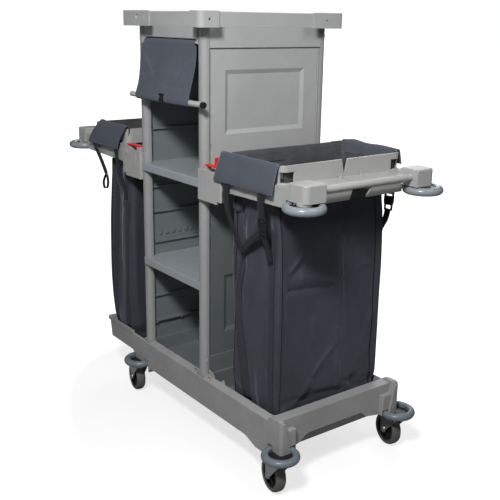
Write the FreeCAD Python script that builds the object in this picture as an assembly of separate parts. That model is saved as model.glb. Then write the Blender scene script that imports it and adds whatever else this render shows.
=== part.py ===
import FreeCAD, Part
import os

# Housekeeping cart: a cabinet on a castored base, with a folding bag frame at each end.
# Millimetres, +Z up, +X to the right end, the open shelf side (front) faces -Y.
# The origin is on the floor under the middle of the cabinet.

Vector = FreeCAD.Vector
X_DIR, Y_DIR, Z_DIR = Vector(1, 0, 0), Vector(0, 1, 0), Vector(0, 0, 1)
SIGNS = (-1, 1)
LEFT_RIGHT = ((-1, "left"), (1, "right"))
FRONT_REAR = ((-1, "front"), (1, "rear"))

GAP = 0.02                # clearance between pieces that touch

# ---- base ----
BASE_HALF_Y = 225.0
BASE_X0, BASE_X1 = -258.0, 560.0
BASE_TOP = 213.0
BASE_BOTTOM = 115.0
WALL_Y = BASE_HALF_Y - 20.0   # inner face of the side walls
APRON_TOP = 268.0
PAN_HALF_X = 146.0
PAN_Z = 172.0             # floor of the pan under the cabinet
BAY_Z = 150.0             # floor of the bag bays
BAY_X0, BAY_X1 = 184.0, 503.0
FLOOR_T = 8.0             # thickness of the pan and bay floors
LEG_Z = 121.0             # underside of the base over the bumper hubs

# ---- left tray ----
END_TRAY_X0 = -438.0
END_TRAY_LIP_X = -444.0
END_TRAY_TOP = BASE_TOP
END_TRAY_FLOOR = 142.0

# ---- bumpers ----
HUB_R = 33.95
RING_BORE_R = 34.0
HUB_ROOM_R = 34.2         # radius cleared for a hub
RING_TUBE_R = 11.2
BASE_RING_R = 53.5        # outer radii of the rings
HANDLE_RING_R = 55.0
RING_Z = 123.0

# ---- castors ----
CASTOR_Y = 224.0
WHEEL_R = 50.0
WHEEL_W = 30.0
TRAIL = 36.0
TRAIL_ANGLE = 170.0       # castors trail towards the left end
STEM_R = 5.95
HUB_BORE_R = 6.0

# ---- cabinet ----
POST_X, POST_Y = 162.0, 210.5
POST_W, POST_D = 34.0, 21.0
POST_TOP = 1228.0
POST_SIDE_X = POST_X + POST_W / 2              # outer face of the right posts
POST_CLEAR_Y = POST_Y + POST_D / 2 + 0.3       # just clear of the posts' outer faces in Y
OPENING_X = POST_X - POST_W / 2 - 0.2          # half width of what fits between the posts
INNER_Y = 199.6           # half width of the side panels, between the posts
PANEL_X0, PANEL_X1 = 164.0, 172.0
PANEL_TOP = 1172.0
RAIL_Z0 = 1195.0          # underside of the top front rail
SHELF_H = 25.0
UPPER_SHELF_TOP, LOWER_SHELF_TOP = 813.0, 505.0
TRAY_X, TRAY_Y = 213.0, 253.0
TRAY_Z0, TRAY_Z1 = POST_TOP, 1268.0
CAP_TOP = 1270.0          # top of the tray's corner caps

# ---- bag frames ----
PIVOT_X, PIVOT_Z = 256.0, 835.0
ARM_Y0, ARM_Y1 = 206.0, 224.0
ARM_Z0, ARM_Z1 = 797.0, 855.0
COLLAR_X0, COLLAR_X1 = 284.0, 518.0
COLLAR_TOP = 902.0
BUMPER_X, BUMPER_Y, BUMPER_Z = 605.0, 210.5, 813.0
BUMPER_SEAT_Z = 819.5     # underside of the frame over the bumper hubs
BAR_X, BAR_Z, BAR_R = 602.0, 851.0, 9.5

# ---- cover ----
COVER_Y, COVER_Z = -216.0, 1186.0
ROD_Y, ROD_Z, ROD_R = -239.0, 1024.0, 8.0
ROD_X0, ROD_X1 = -192.0, 201.0

os.makedirs("parts", exist_ok=True)


# ======================================================================
# helpers
# ======================================================================
def both(half):
    """Ends of a range centred on zero."""
    return -half, half


def span(side, near_end, far_end):
    """Ends of a range laid off on the side (-1 or 1) of zero, in rising order."""
    return tuple(sorted((side * near_end, side * far_end)))


def box(x0, x1, y0, y1, z0, z1):
    return Part.makeBox(x1 - x0, y1 - y0, z1 - z0, Vector(x0, y0, z0))


def cylinder(start, radius, length, direction=Z_DIR):
    return Part.makeCylinder(radius, length, Vector(*start), direction)


def annulus(x, y, r0, r1, z0, z1):
    return cylinder((x, y, z0), r1, z1 - z0).cut(cylinder((x, y, z0 - 1), r0, z1 - z0 + 2))


def closed_wire(points):
    return Part.makePolygon(points + [points[0]])


def prism_xz(points, y0, y1):
    outline = closed_wire([Vector(x, y0, z) for x, z in points])
    return Part.Face(outline).extrude(Vector(0, y1 - y0, 0))


def prism_yz(points, x0, x1):
    outline = closed_wire([Vector(x0, y, z) for y, z in points])
    return Part.Face(outline).extrude(Vector(x1 - x0, 0, 0))


def near(a, b):
    return abs(a - b) < 0.01


def along(edge, direction):
    """True for a straight edge parallel to the direction."""
    if edge.Curve.TypeId != "Part::GeomLine":
        return False
    chord = edge.Vertexes[-1].Point - edge.Vertexes[0].Point
    length = chord.Length
    return length > 1e-6 and abs(abs(chord.dot(direction)) / length - 1) < 1e-6


def soften(shape, radius, pick):
    """Rounds the edges that pick accepts; the shape stays sharp where that fails."""
    edges = [edge for edge in shape.Edges if pick(edge)]
    if not edges:
        return shape
    # guards against a fillet that the kernel can't build
    try:
        out = shape.makeFillet(radius, edges)
        if out.isValid() and len(out.Solids) == len(shape.Solids):
            return out
    except Exception:
        pass
    return shape


def rounded_box(x0, x1, y0, y1, z0, z1, radius):
    """Box with rounded upright edges."""
    return soften(box(x0, x1, y0, y1, z0, z1), radius, lambda edge: along(edge, Z_DIR))


def fuse(first, *others):
    return first.multiFuse(list(others)).removeSplitter()


def mirror_x(shape):
    return shape.mirror(Vector(0, 0, 0), X_DIR)


def mirror_y(shape):
    return shape.mirror(Vector(0, 0, 0), Y_DIR)


def save(name, *shapes):
    solids = [solid for shape in shapes for solid in shape.Solids]
    out = solids[0] if len(solids) == 1 else Part.makeCompound(solids)
    if not out.isValid():
        out.fix(1e-6, 1e-6, 1e-6)
    out.exportStep("parts/" + name + ".step")


# name, x, y of each castor and its base bumper
CORNERS = [(end + "_" + side, x, sy * CASTOR_Y)
           for side, x in (("right", 558.0), ("left", -213.0)) for sy, end in FRONT_REAR]

# ======================================================================
# base moulding
# ======================================================================
CUT_TOP = BASE_TOP + 90   # tops and bottoms of cutters, well clear of the base
CUT_BOTTOM = 60.0
PAD_Z0 = PAN_Z - 10       # pads and aprons start inside the pan's floor

# x, z round the side view of the base
BASE_SIDE = [
    (BASE_X0, BASE_TOP), (BASE_X1, BASE_TOP), (BASE_X1, LEG_Z), (518.0, LEG_Z),
    (500.0, 98.0), (446.0, 98.0), (430.0, 104.0), (397.0, BASE_BOTTOM),
    (-130.0, BASE_BOTTOM), (-143.0, 111.0), (-150.0, 98.0), (-176.0, 98.0),
    (-190.0, 112.0), (-200.0, LEG_Z), (-226.0, 126.0), (BASE_X0, 141.0),
]
# x, z of the gusset and the hook on the side walls of the right bay
GUSSET = [(BAY_X0, BASE_TOP - 4), (214.0, BASE_TOP - 4), (205.0, BASE_TOP + 9),
          (BAY_X0, BASE_TOP + 16)]
HOOK = [(244.0, BASE_TOP - 6), (268.0, BASE_TOP - 6), (262.0, BASE_TOP + 7),
        (256.0, BASE_TOP + 9)]
# y, z of the space between the right corners
END_RECESS = [(-187.0, CUT_BOTTOM), (-189.0, 123.0), (-209.0, BASE_TOP), (-209.0, 400),
              (209.0, 400), (209.0, BASE_TOP), (189.0, 123.0), (187.0, CUT_BOTTOM)]
# y, z of what is cut away below the right end wall
END_LOWER_CUT = [
    (-230.0, CUT_BOTTOM), (230.0, CUT_BOTTOM), (230.0, LEG_Z), (160.0, LEG_Z),
    (132.0, 126.0), (112.0, 130.0), (94.0, 148.0), (-100.0, 148.0), (-118.0, 144.0),
    (-142.0, 128.0), (-168.0, LEG_Z), (-230.0, LEG_Z),
]
# x, z of the raised right ends of the side walls
WALL_END = [(500.0, BASE_TOP - 12), (553.0, BASE_TOP - 12), (553.0, BASE_TOP + 3),
            (544.0, BASE_TOP + 6), (518.0, BASE_TOP + 5), (502.0, BASE_TOP)]
# x0, x1, half width in y, top of the hollows in the underside
HOLLOWS = [
    (-PAN_HALF_X, BAY_X1, WALL_Y, BAY_Z - FLOOR_T),
    (-140.0, 140.0, WALL_Y, PAN_Z - FLOOR_T),
    (BASE_X0 - 1, -160.0, 180.0, BAY_Z - FLOOR_T),
    (-176.0, -140.0, 180.0, BAY_Z - FLOOR_T),
]
RIB_H, RIB_HALF_T = 22, 2
RIBS = [(-60.0, PAN_Z), (40.0, PAN_Z), (250.0, BAY_Z), (340.0, BAY_Z), (430.0, BAY_Z)]  # x, floor
SLOTS_X = ((112.0, 134.0), (188.0, 206.0))    # either side of the front right post


def base_body():
    """Block with its side bevels, the pan, the right bay and the open left end."""
    base = prism_xz(BASE_SIDE, *both(BASE_HALF_Y))
    base = soften(base, 10.0, lambda edge: along(edge, Z_DIR) and edge.BoundBox.XMin > 550)
    for sy in SIGNS:
        bevel = [(sy * 207.0, BASE_TOP + 0.01), (sy * 226.0, BASE_TOP - 10.5),
                 (sy * 226.0, BASE_TOP + 0.01)]
        base = base.cut(prism_yz(bevel, BASE_X0 - 1, 502.0))
    base = base.cut(rounded_box(*both(PAN_HALF_X), *both(WALL_Y), PAN_Z, CUT_TOP, 10.0))
    base = base.cut(rounded_box(BAY_X0, BAY_X1, *both(WALL_Y), BAY_Z, CUT_TOP, 12.0))
    return base.cut(box(BASE_X0 - 1, -BAY_X0, *both(BASE_HALF_Y - 6), BAY_Z, CUT_TOP))


def add_cabinet_foot(base):
    """Pads under the posts, aprons under the side panels, and the gussets and hooks."""
    for sx in SIGNS:
        for sy in SIGNS:
            base = base.fuse(rounded_box(*span(sx, 140.0, BAY_X0), *span(sy, 192.0, 223.0),
                                         PAD_Z0, BASE_TOP, 5.0))
    for sx in SIGNS:
        base = base.fuse(box(*span(sx, PANEL_X0, PANEL_X1 + 4), *both(INNER_Y),
                             PAD_Z0, APRON_TOP))
        base = base.fuse(box(*span(sx, PAN_HALF_X, BAY_X0), *both(BASE_HALF_Y - 5),
                             PAD_Z0, PAN_Z + 18))
    for sy in SIGNS:
        for outline in (GUSSET, HOOK):
            base = base.fuse(prism_xz(outline, *span(sy, 201.0, 206.0)))
    return base


def shape_right_end(base):
    """Sets the end wall back between the corners and builds up the corners."""
    base = base.cut(prism_yz(END_RECESS, 538.0, 640.0))
    base = base.cut(prism_yz(END_LOWER_CUT, 503.5, 640.0))
    for sy in SIGNS:
        base = base.fuse(rounded_box(530.0, 554.0, *span(sy, 165.0, 205.0), LEG_Z, 184.0, 5.0))
        base = base.fuse(prism_xz(WALL_END, *span(sy, 209.0, 225.0)))
    return base


def base_moulding():
    base = add_cabinet_foot(base_body())
    for x0, x1, half_y, top in HOLLOWS:
        base = base.cut(box(x0, x1, *both(half_y), CUT_BOTTOM, top))
    base = shape_right_end(base)
    # seats over the left bumpers
    for sy in SIGNS:
        base = base.fuse(rounded_box(-244.0, -182.0, *span(sy, 188.0, 224.0), LEG_Z, BAY_Z, 6.0))
    # cross ribs in the underside, let into the floors
    for x, floor in RIBS:
        top = floor - FLOOR_T + 2
        base = base.fuse(box(x - RIB_HALF_T, x + RIB_HALF_T, *both(206.0), top - RIB_H, top))
    # room for the bumper rings and hubs
    for _, x, y in CORNERS:
        base = base.cut(annulus(x, y, 33.4, 57.0, 90.0, 137.0))
        base = base.cut(cylinder((x, y, 80.0), HUB_ROOM_R, LEG_Z - 80.0))
    for x0, x1 in SLOTS_X:
        base = base.cut(box(x0, x1, -215.0, -210.0, BASE_TOP - 9, BASE_TOP + 1))
    base = base.removeSplitter()
    # the bevels' long upper edges
    return soften(base, 2.0, lambda edge: along(edge, X_DIR)
                  and near(edge.BoundBox.ZMax, BASE_TOP) and edge.Length > 100
                  and near(abs(edge.BoundBox.YMax), 207))


save("base_moulding", base_moulding())

# ======================================================================
# left tray, carried beyond the left castors, and its bolts
# ======================================================================
FLANGE_L = 30
FLANGE_Z0 = END_TRAY_FLOOR - 5
FLANGE_Y = 150.0
BOLT_X = BASE_X0 + FLANGE_L / 2
BOLTS_Y = (-120.0, -40.0, 40.0, 120.0)


def tub(x0, x1, y, z0, top_x0, top_y, z1):
    """Loft between two rectangles that share their right end x1."""
    def rectangle(left, half_y, z):
        return closed_wire([Vector(left, -half_y, z), Vector(x1, -half_y, z),
                            Vector(x1, half_y, z), Vector(left, half_y, z)])
    return Part.makeLoft([rectangle(x0, y, z0), rectangle(top_x0, top_y, z1)], True, True)


def left_tray():
    outside = tub(END_TRAY_X0 + 10, BASE_X0, 222.0, END_TRAY_FLOOR,
                  END_TRAY_X0, 223.0, END_TRAY_TOP)
    outside = soften(outside, 9.0, lambda edge: edge.BoundBox.ZLength > 50
                     and edge.BoundBox.XMax < -420)
    inside = tub(END_TRAY_X0 + 16, BASE_X0 + 5, 216.5, END_TRAY_FLOOR + 6,
                 END_TRAY_X0 + 6, 217.5, END_TRAY_TOP + 1)
    lip = rounded_box(END_TRAY_LIP_X, BASE_X0, *both(226.0), END_TRAY_TOP - 11, END_TRAY_TOP, 9.0)
    tray = outside.fuse(lip).cut(inside)
    # flange that reaches under the base, and the step that joins it to the floor
    tray = tray.fuse(box(BASE_X0, BASE_X0 + FLANGE_L, *both(FLANGE_Y),
                         FLANGE_Z0, END_TRAY_FLOOR - GAP))
    tray = tray.fuse(box(BASE_X0 - 12, BASE_X0, *both(FLANGE_Y), FLANGE_Z0, END_TRAY_FLOOR + 3))
    for y in BOLTS_Y:
        tray = tray.cut(cylinder((BOLT_X, y, 130.0), 3.2, 20.0))
    return tray.removeSplitter()


def tray_bolt(y):
    head_h = 4.4
    return fuse(cylinder((BOLT_X, y, FLANGE_Z0 - head_h), 6.0, head_h),
                cylinder((BOLT_X, y, 134.0), 3.15, 7.9))


save("left_tray", left_tray())
save("tray_bolts", *[tray_bolt(y) for y in BOLTS_Y])


# ======================================================================
# bumper hubs and rings of the base
# ======================================================================
def hub(x, y, z0, z1, top_t=0):
    """Disc with a rounded lower edge; top_t is what a stem bore leaves at the top, 0 for none."""
    disc = cylinder((x, y, z0), HUB_R, z1 - z0)
    disc = soften(disc, 1.5, lambda edge: near(edge.BoundBox.ZMax, z0))
    if not top_t:
        return disc
    return disc.cut(cylinder((x, y, z0 - 1), HUB_BORE_R, z1 - z0 + 1 - top_t))


def ring(x, y, z, outer_r):
    torus = Part.makeTorus(outer_r - RING_TUBE_R, RING_TUBE_R, Vector(x, y, z))
    return torus.cut(cylinder((x, y, z - 40), RING_BORE_R, 80.0))


save("base_bumper_hubs", *[hub(x, y, 106.5, LEG_Z - GAP, 2.5) for _, x, y in CORNERS])
for name, x, y in CORNERS:
    save("base_bumper_" + name, ring(x, y, RING_Z, BASE_RING_R))

# ======================================================================
# castors, built trailing towards -X from a swivel axis on the origin, then turned
# ======================================================================
AXLE_X = -TRAIL
AXLE_R = 5.0
CROWN_Z0, CROWN_Z1 = 100.8, 103.8
CHEEK_Y0, CHEEK_Y1 = 17.5, 20.0
# x, z of a fork cheek
CHEEK = [(-44.0, CROWN_Z1), (16.0, CROWN_Z1), (17.0, 97.0), (AXLE_X + 11.0, 49.0),
         (AXLE_X - 11.0, 49.0), (-50.0, 84.0)]
# radius, y round the tread's section
TREAD_HALF = WHEEL_W / 2
TREAD = [
    (38.0, -TREAD_HALF + 1.0), (44.0, -TREAD_HALF), (48.2, -TREAD_HALF + 3.5),
    (WHEEL_R, -TREAD_HALF + 9.0), (WHEEL_R, TREAD_HALF - 9.0), (48.2, TREAD_HALF - 3.5),
    (44.0, TREAD_HALF), (38.0, TREAD_HALF - 1.0),
]
WEB_RIBS = 5


def on_axle(y0, radius, length):
    return cylinder((AXLE_X, y0, WHEEL_R), radius, length, Y_DIR)


def castor_fork():
    crown = cylinder((0, 0, CROWN_Z0), 25.0, 4.4)
    crown = crown.fuse(box(-44.0, 0.0, *both(CHEEK_Y1), CROWN_Z0, CROWN_Z1))
    crown = crown.fuse(cylinder((0, 0, 105.0), 17.0, 1.4))
    cheeks = []
    for side in SIGNS:
        y0, y1 = span(side, CHEEK_Y0, CHEEK_Y1)
        cheeks.append(prism_xz(CHEEK, y0, y1).fuse(on_axle(y0, 11.0, 2.5)))
    stem = cylinder((0, 0, 104.0), STEM_R, 13.5)
    fork = fuse(crown, *cheeks, stem)
    axle = fuse(on_axle(-21.6, AXLE_R, 43.2), on_axle(-22.8, 7.5, 2.8), on_axle(20.0, 7.5, 2.8))
    return fuse(fork, axle)


def castor_core():
    core = on_axle(-16.0, 12.0, 32.0)
    core = core.fuse(on_axle(-4.0, 36.0, 8.0))
    core = core.fuse(on_axle(-12.5, 38.0, 25.0).cut(on_axle(-14.0, 33.0, 28.0)))
    for k in range(WEB_RIBS):
        rib = box(10.0, 34.0, -9.0, 9.0, -2.0, 2.0)
        rib.rotate(Vector(0, 0, 0), Y_DIR, 360 / WEB_RIBS * k)
        rib.translate(Vector(AXLE_X, 0, WHEEL_R))
        core = core.fuse(rib)
    return core.cut(on_axle(-20.0, AXLE_R + 0.05, 40.0)).removeSplitter()


def castor_tread():
    section = closed_wire([Vector(AXLE_X + radius, y, WHEEL_R) for radius, y in TREAD])
    turned = Part.Face(section).revolve(Vector(AXLE_X, 0, WHEEL_R), Y_DIR, 360)
    tread = turned.Solids[0]
    # the revolve may come out inside out
    if tread.Volume < 0:
        tread.reverse()
    return tread


for name, x, y in CORNERS:
    for piece, build in (("fork", castor_fork), ("core", castor_core), ("tread", castor_tread)):
        part = build()
        part.rotate(Vector(0, 0, 0), Z_DIR, TRAIL_ANGLE - 180.0)
        part.translate(Vector(x, y, 0))
        save("castor_" + piece + "_" + name, part)


# ======================================================================
# posts
# ======================================================================
def post(sx, sy):
    """Hollow post: rounded outer corners and a groove along the side panel's edge."""
    half_w, half_d, wall = POST_W / 2, POST_D / 2, 5
    x, y = sx * POST_X, sy * POST_Y
    body = box(x - half_w, x + half_w, y - half_d, y + half_d, BASE_TOP, POST_TOP)
    body = soften(body, 15.0, lambda edge: along(edge, Z_DIR)
                  and sy * edge.BoundBox.YMax > POST_Y + 0.1)
    z0, z1 = BASE_TOP - 1, POST_TOP + 1
    body = body.cut(box(*span(sx, PANEL_X1, 174.5), *span(sy, 199.0, 202.0), z0, z1))
    return body.cut(rounded_box(x - half_w + wall, x + half_w - wall,
                                y - half_d + wall, y + half_d - wall, z0, z1, 4.0))


for sx, side in LEFT_RIGHT:
    for sy, end in FRONT_REAR:
        save(end + "_" + side + "_post", post(sx, sy))

# ======================================================================
# side panels, fascias and rear panel
# ======================================================================
RECESSES_Z = ((934.0, 1113.0), (336.0, 516.0))
NOTCHES_Z = ((673.0, 703.0), (595.0, 637.0), (880.0, 909.0), (421.0, 451.0))
RUNNERS_Z = (917.0, 731.0, 650.0, 549.0, 364.0)
RUNNER_Y = (-189.0, 190.0)
FOOT_RIBS_Y = (-189.0, -95.0, -2.0, 91.0, 185.0)
STRIP_NOTCHES_Z = (324.0, 402.0, 602.0, 688.0, 760.0, 895.0, 1000.0, 1080.0)


def bevelled_recess(x_out, x_in, half_y, z0, z1, bevel):
    """Cutter that narrows by the bevel on every side from x_out to x_in."""
    def rectangle(x, inset):
        y, low, high = half_y - inset, z0 + inset, z1 - inset
        return closed_wire([Vector(x, -y, low), Vector(x, y, low),
                            Vector(x, y, high), Vector(x, -y, high)])
    return Part.makeLoft([rectangle(x_out, 0), rectangle(x_in, bevel)], True, True)


def inner_details():
    """What stands on the inner face of the right panel, let into it a little."""
    root = PANEL_X0 + 0.5
    details = [box(PANEL_X0 - 9.0, root, *RUNNER_Y, z - 3.0, z + 3.0) for z in RUNNERS_Z]
    # row of small blocks
    for k in range(6):
        y = -168.0 + 24.0 * k
        details.append(box(PANEL_X0 - 5.0, root, y, y + 9.0, 572.0, 583.0))
    # ribbed ledge at the foot
    details.append(box(PANEL_X0 - 14.0, root, *RUNNER_Y, 274.0, 279.0))
    for y in FOOT_RIBS_Y:
        details.append(box(PANEL_X0 - 14.0, root, y, y + 5.0, APRON_TOP + GAP, 276.0))
    # notched upright strip near the front
    strip = box(PANEL_X0 - 4.0, root, -198.0, -190.0, APRON_TOP + 4, 1150.0)
    for z in STRIP_NOTCHES_Z:
        strip = strip.cut(box(PANEL_X0 - 6.0, PANEL_X0 - 0.5, -199.0, -193.5, z, z + 16.0))
    return details + [strip]


def right_side_panel():
    panel = box(PANEL_X0, PANEL_X1, *both(INNER_Y), APRON_TOP, PANEL_TOP)
    for z0, z1 in RECESSES_Z:
        panel = panel.cut(bevelled_recess(PANEL_X1 + 0.001, PANEL_X1 - 5.5, 143.0, z0, z1, 12.0))
    # seams beside the front and rear posts, and notches beside the front seam
    for y in (-195.5, 193.5):
        panel = panel.cut(box(PANEL_X1 - 2.0, PANEL_X1 + 1, y, y + 2.0, 300.0, 1160.0))
    for z0, z1 in NOTCHES_Z:
        panel = panel.cut(box(PANEL_X1 - 3.0, PANEL_X1 + 1, -193.5, -187.5, z0, z1))
    return fuse(panel, *inner_details())


def right_fascia():
    fascia = box(PANEL_X0, PANEL_X1 + 5.3, *both(INNER_Y), PANEL_TOP + GAP, POST_TOP)
    return soften(fascia, 2.0, lambda edge: along(edge, Y_DIR)
                  and edge.BoundBox.XMin > 170 and edge.BoundBox.ZMax < 1180)


def rear_panel():
    rear = box(*both(OPENING_X), 198.0, 204.0, BASE_TOP, POST_TOP)
    for z0, z1 in ((934.0, 1113.0), (336.0, 700.0)):
        rear = rear.cut(box(*both(120.0), 202.5, 206.0, z0, z1))
    return rear


panel = right_side_panel()
save("right_side_panel", panel)
save("left_side_panel", mirror_x(panel))
fascia = right_fascia()
save("side_fascias", fascia, mirror_x(fascia))
save("rear_panel", rear_panel())

# ======================================================================
# shelves and top front rail
# ======================================================================
SHELF_T = 8.0
SHELF_REAR_Y = 197.5
SHELF_RIBS_X = (-100.0, -50.0, 0.0, 50.0, 100.0)


def shelf(top):
    bottom, deck = top - SHELF_H, top - SHELF_T
    out = box(*both(163.8), -199.0, SHELF_REAR_Y, deck, top)
    out = out.fuse(box(*both(OPENING_X), -215.0, SHELF_REAR_Y, deck, top))
    # front lip, its root between the posts, and the rear skirt
    out = out.fuse(box(*both(160.0), -226.5, -POST_CLEAR_Y, bottom, top))
    out = out.fuse(box(*both(OPENING_X), -223.0, -214.0, bottom, top))
    out = out.fuse(box(*both(OPENING_X), 190.0, SHELF_REAR_Y, bottom, top))
    for x in SHELF_RIBS_X:
        out = out.fuse(box(x - 1.5, x + 1.5, -215.0, 191.0, top - 18.0, top - 7.0))
    # room for the notched strips of the side panels
    for sx in SIGNS:
        out = out.cut(box(*span(sx, 159.5, 165.0), -200.0, -189.4, top - 9.0, top + 1.0))
    out = out.removeSplitter()
    return soften(out, 2.5, lambda edge: along(edge, X_DIR) and edge.BoundBox.YMax < -226.4)


def top_front_rail():
    rail = box(*both(OPENING_X), -219.0, -205.0, RAIL_Z0, POST_TOP)
    return soften(rail, 3.0, lambda edge: along(edge, X_DIR) and edge.BoundBox.YMax < -218.9)


save("upper_shelf", shelf(UPPER_SHELF_TOP))
save("lower_shelf", shelf(LOWER_SHELF_TOP))
save("top_front_rail", top_front_rail())

# ======================================================================
# top tray with a shallow well, and its corner caps
# ======================================================================
END_HOLES_Y = (-224.0, 189.0)     # holes in the right end


def end_hole(x, y):
    return cylinder((x, y, 1248.0), 3.4, 20.0, X_DIR)


def front_hole(length):
    return cylinder((-124.0, -TRAY_Y - 10, 1253.0), 6.5, length, Y_DIR)


def top_tray():
    tray = rounded_box(*both(TRAY_X), *both(TRAY_Y), TRAY_Z0, TRAY_Z1, 14.0)
    tray = tray.cut(rounded_box(*both(TRAY_X - 12), *both(TRAY_Y - 12),
                                TRAY_Z0 + 10, TRAY_Z1 + 5, 10.0))
    # grooves under the front and rear edges
    for sy in SIGNS:
        tray = tray.cut(box(*both(TRAY_X - 8), *span(sy, 224.0, TRAY_Y - 8),
                            TRAY_Z0 - 1, TRAY_Z0 + 5))
    tray = soften(tray, 2.0, lambda edge: near(edge.BoundBox.ZMin, TRAY_Z1)
                  and near(edge.BoundBox.ZMax, TRAY_Z1))
    for y in END_HOLES_Y:
        tray = tray.cut(end_hole(TRAY_X - 8, y))
    return tray.cut(front_hole(18.0))


def cap_skin():
    skin = rounded_box(*both(TRAY_X + 2.6), *both(TRAY_Y + 2.6), TRAY_Z0 - 1.5, CAP_TOP, 16.0)
    return skin.cut(rounded_box(*both(TRAY_X + GAP), *both(TRAY_Y + GAP),
                                TRAY_Z0 - 5, CAP_TOP + 5, 14.0))


def cap(skin, x_end, y_end, sx, sy):
    """Corner of the skin; its two legs reach from the corner to x_end and y_end."""
    corner_x, corner_y = sx * (TRAY_X + 10), sy * (TRAY_Y + 10)
    z0, z1 = TRAY_Z0 - 5, CAP_TOP + 5
    x_leg = box(*sorted((corner_x, x_end)), *span(sy, TRAY_Y - 20, TRAY_Y + 10), z0, z1)
    y_leg = box(*span(sx, TRAY_X - 20, TRAY_X + 10), *sorted((corner_y, y_end)), z0, z1)
    return skin.common(x_leg.fuse(y_leg).removeSplitter())


def corner_caps():
    skin = cap_skin()
    front_y, rear_y = END_HOLES_Y
    front_right = cap(skin, 166.0, -193.0, 1, -1).cut(end_hole(TRAY_X - 5, front_y))
    rear_right = cap(skin, 166.0, 138.0, 1, 1).cut(end_hole(TRAY_X - 5, rear_y))
    front_left = cap(skin, -50.0, -193.0, -1, -1).cut(front_hole(20.0))
    # small upright bar on the front face
    front_left = front_left.fuse(
        box(-84.0, -78.0, -TRAY_Y - 3.9, -TRAY_Y - 2.0, 1240.0, 1256.0)).removeSplitter()
    rear_left = cap(skin, -166.0, 138.0, -1, 1)
    return front_right, rear_right, front_left, rear_left


save("top_tray", top_tray())
save("top_corner_caps", *corner_caps())


# ======================================================================
# pan head screws at the foot and head of each post
# ======================================================================
def post_screw(sx, sy, z):
    head_h = 1.8
    x = sx * (POST_SIDE_X + GAP)
    outer_x = x + sx * head_h
    head = cylinder((x, sy * 209.0, z), 4.5, head_h, Vector(sx, 0, 0))
    return soften(head, 1.0, lambda edge: near(edge.BoundBox.XMin, outer_x)
                  and near(edge.BoundBox.XMax, outer_x))


save("post_screws", *[post_screw(sx, sy, z)
                      for sx in SIGNS for sy in SIGNS for z in (258.0, 1205.0)])

# ======================================================================
# brackets, hinge pins, catches; built for the front right corner
# ======================================================================
BRACKET_X0, BRACKET_X1 = 165.0, 280.0
BRACKET_Z = (758.0, 846.0)
WEB_X = (POST_SIDE_X + 0.3, 199.0)
OUTER_CHEEK_Y = (-232.0, -226.0)
INNER_CHEEK_Y = (-204.0, -198.0)
SEAT_Y = (-ARM_Y1, -ARM_Y0)
PIN_HEAD_T = 2.38


def bracket():
    """A plate across the post and a fork of two cheeks for the frame's arm."""
    face_y = OUTER_CHEEK_Y[0]
    outer = box(BRACKET_X0, BRACKET_X1, *OUTER_CHEEK_Y, *BRACKET_Z)
    back = box(BRACKET_X0, 200.0, face_y, -POST_CLEAR_Y, *BRACKET_Z)
    web = box(*WEB_X, face_y, INNER_CHEEK_Y[1], *BRACKET_Z)
    seat = box(*WEB_X, *SEAT_Y, 840.0, 856.4)
    inner = box(WEB_X[0], BRACKET_X1, *INNER_CHEEK_Y, *BRACKET_Z)
    body = fuse(outer, back, web, inner, seat)
    # upright groove in the face, then the lower corner of both cheeks
    body = body.cut(box(192.2, 193.8, -234.0, -230.8, 758.0, 846.5))
    body = body.cut(box(260.0, 300.0, -240.0, -190.0, 750.0, 766.0))
    # the inner cheek is cut shorter below the arm's pivot
    body = body.cut(box(263.0, 300.0, -205.0, -197.0, 750.0, 812.0))
    body = soften(body, 3.0, lambda edge: along(edge, Z_DIR) and edge.BoundBox.YMax < -231.9
                  and (edge.BoundBox.XMax < 166 or edge.BoundBox.XMin > 279))
    for y0, _ in (OUTER_CHEEK_Y, INNER_CHEEK_Y):
        body = body.cut(cylinder((PIVOT_X, y0 - 1, PIVOT_Z), 5.0, 8.0, Y_DIR))
    return body


def hinge_pin():
    def on_pivot(y0, radius, length):
        return cylinder((PIVOT_X, y0, PIVOT_Z), radius, length, Y_DIR)
    return fuse(on_pivot(-234.0, 4.98, 37.6),
                on_pivot(OUTER_CHEEK_Y[0] - GAP - PIN_HEAD_T, 8.0, PIN_HEAD_T),
                on_pivot(INNER_CHEEK_Y[1] + GAP, 8.0, 2.4))


def catch_strip():
    return box(190.0, 264.0, *SEAT_Y, 856.6, 860.6)


def plain_catch():
    return soften(catch_strip(), 1.5, lambda edge: along(edge, Z_DIR))


def tabbed_catch():
    tab = prism_xz([(236.0, 860.0), (264.0, 860.0), (262.0, 884.0), (241.0, 886.0),
                    (237.0, 880.0)], -222.0, -208.0)
    return soften(fuse(catch_strip(), tab), 1.5,
                  lambda edge: along(edge, Y_DIR) and edge.BoundBox.ZMin > 870)


for name, piece in (("brackets", bracket()), ("hinge_pins", hinge_pin())):
    save("right_" + name, piece, mirror_y(piece))
    save("left_" + name, mirror_x(piece), mirror_y(mirror_x(piece)))
for side, piece in (("right", tabbed_catch()), ("left", mirror_x(plain_catch()))):
    save(side + "_front_catch", piece)
    save(side + "_rear_catch", mirror_y(piece))

# ======================================================================
# bag frame, built for the right end
# ======================================================================
# x, z of an arm
ARM = [
    (PIVOT_X, 817.0), (PIVOT_X + 6, ARM_Z0 + 4), (PIVOT_X + 16, ARM_Z0), (540.0, ARM_Z0 + 6),
    (600.0, 826.0), (600.0, ARM_Z1), (PIVOT_X + 8, ARM_Z1), (PIVOT_X, PIVOT_Z + 18.0),
]
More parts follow.
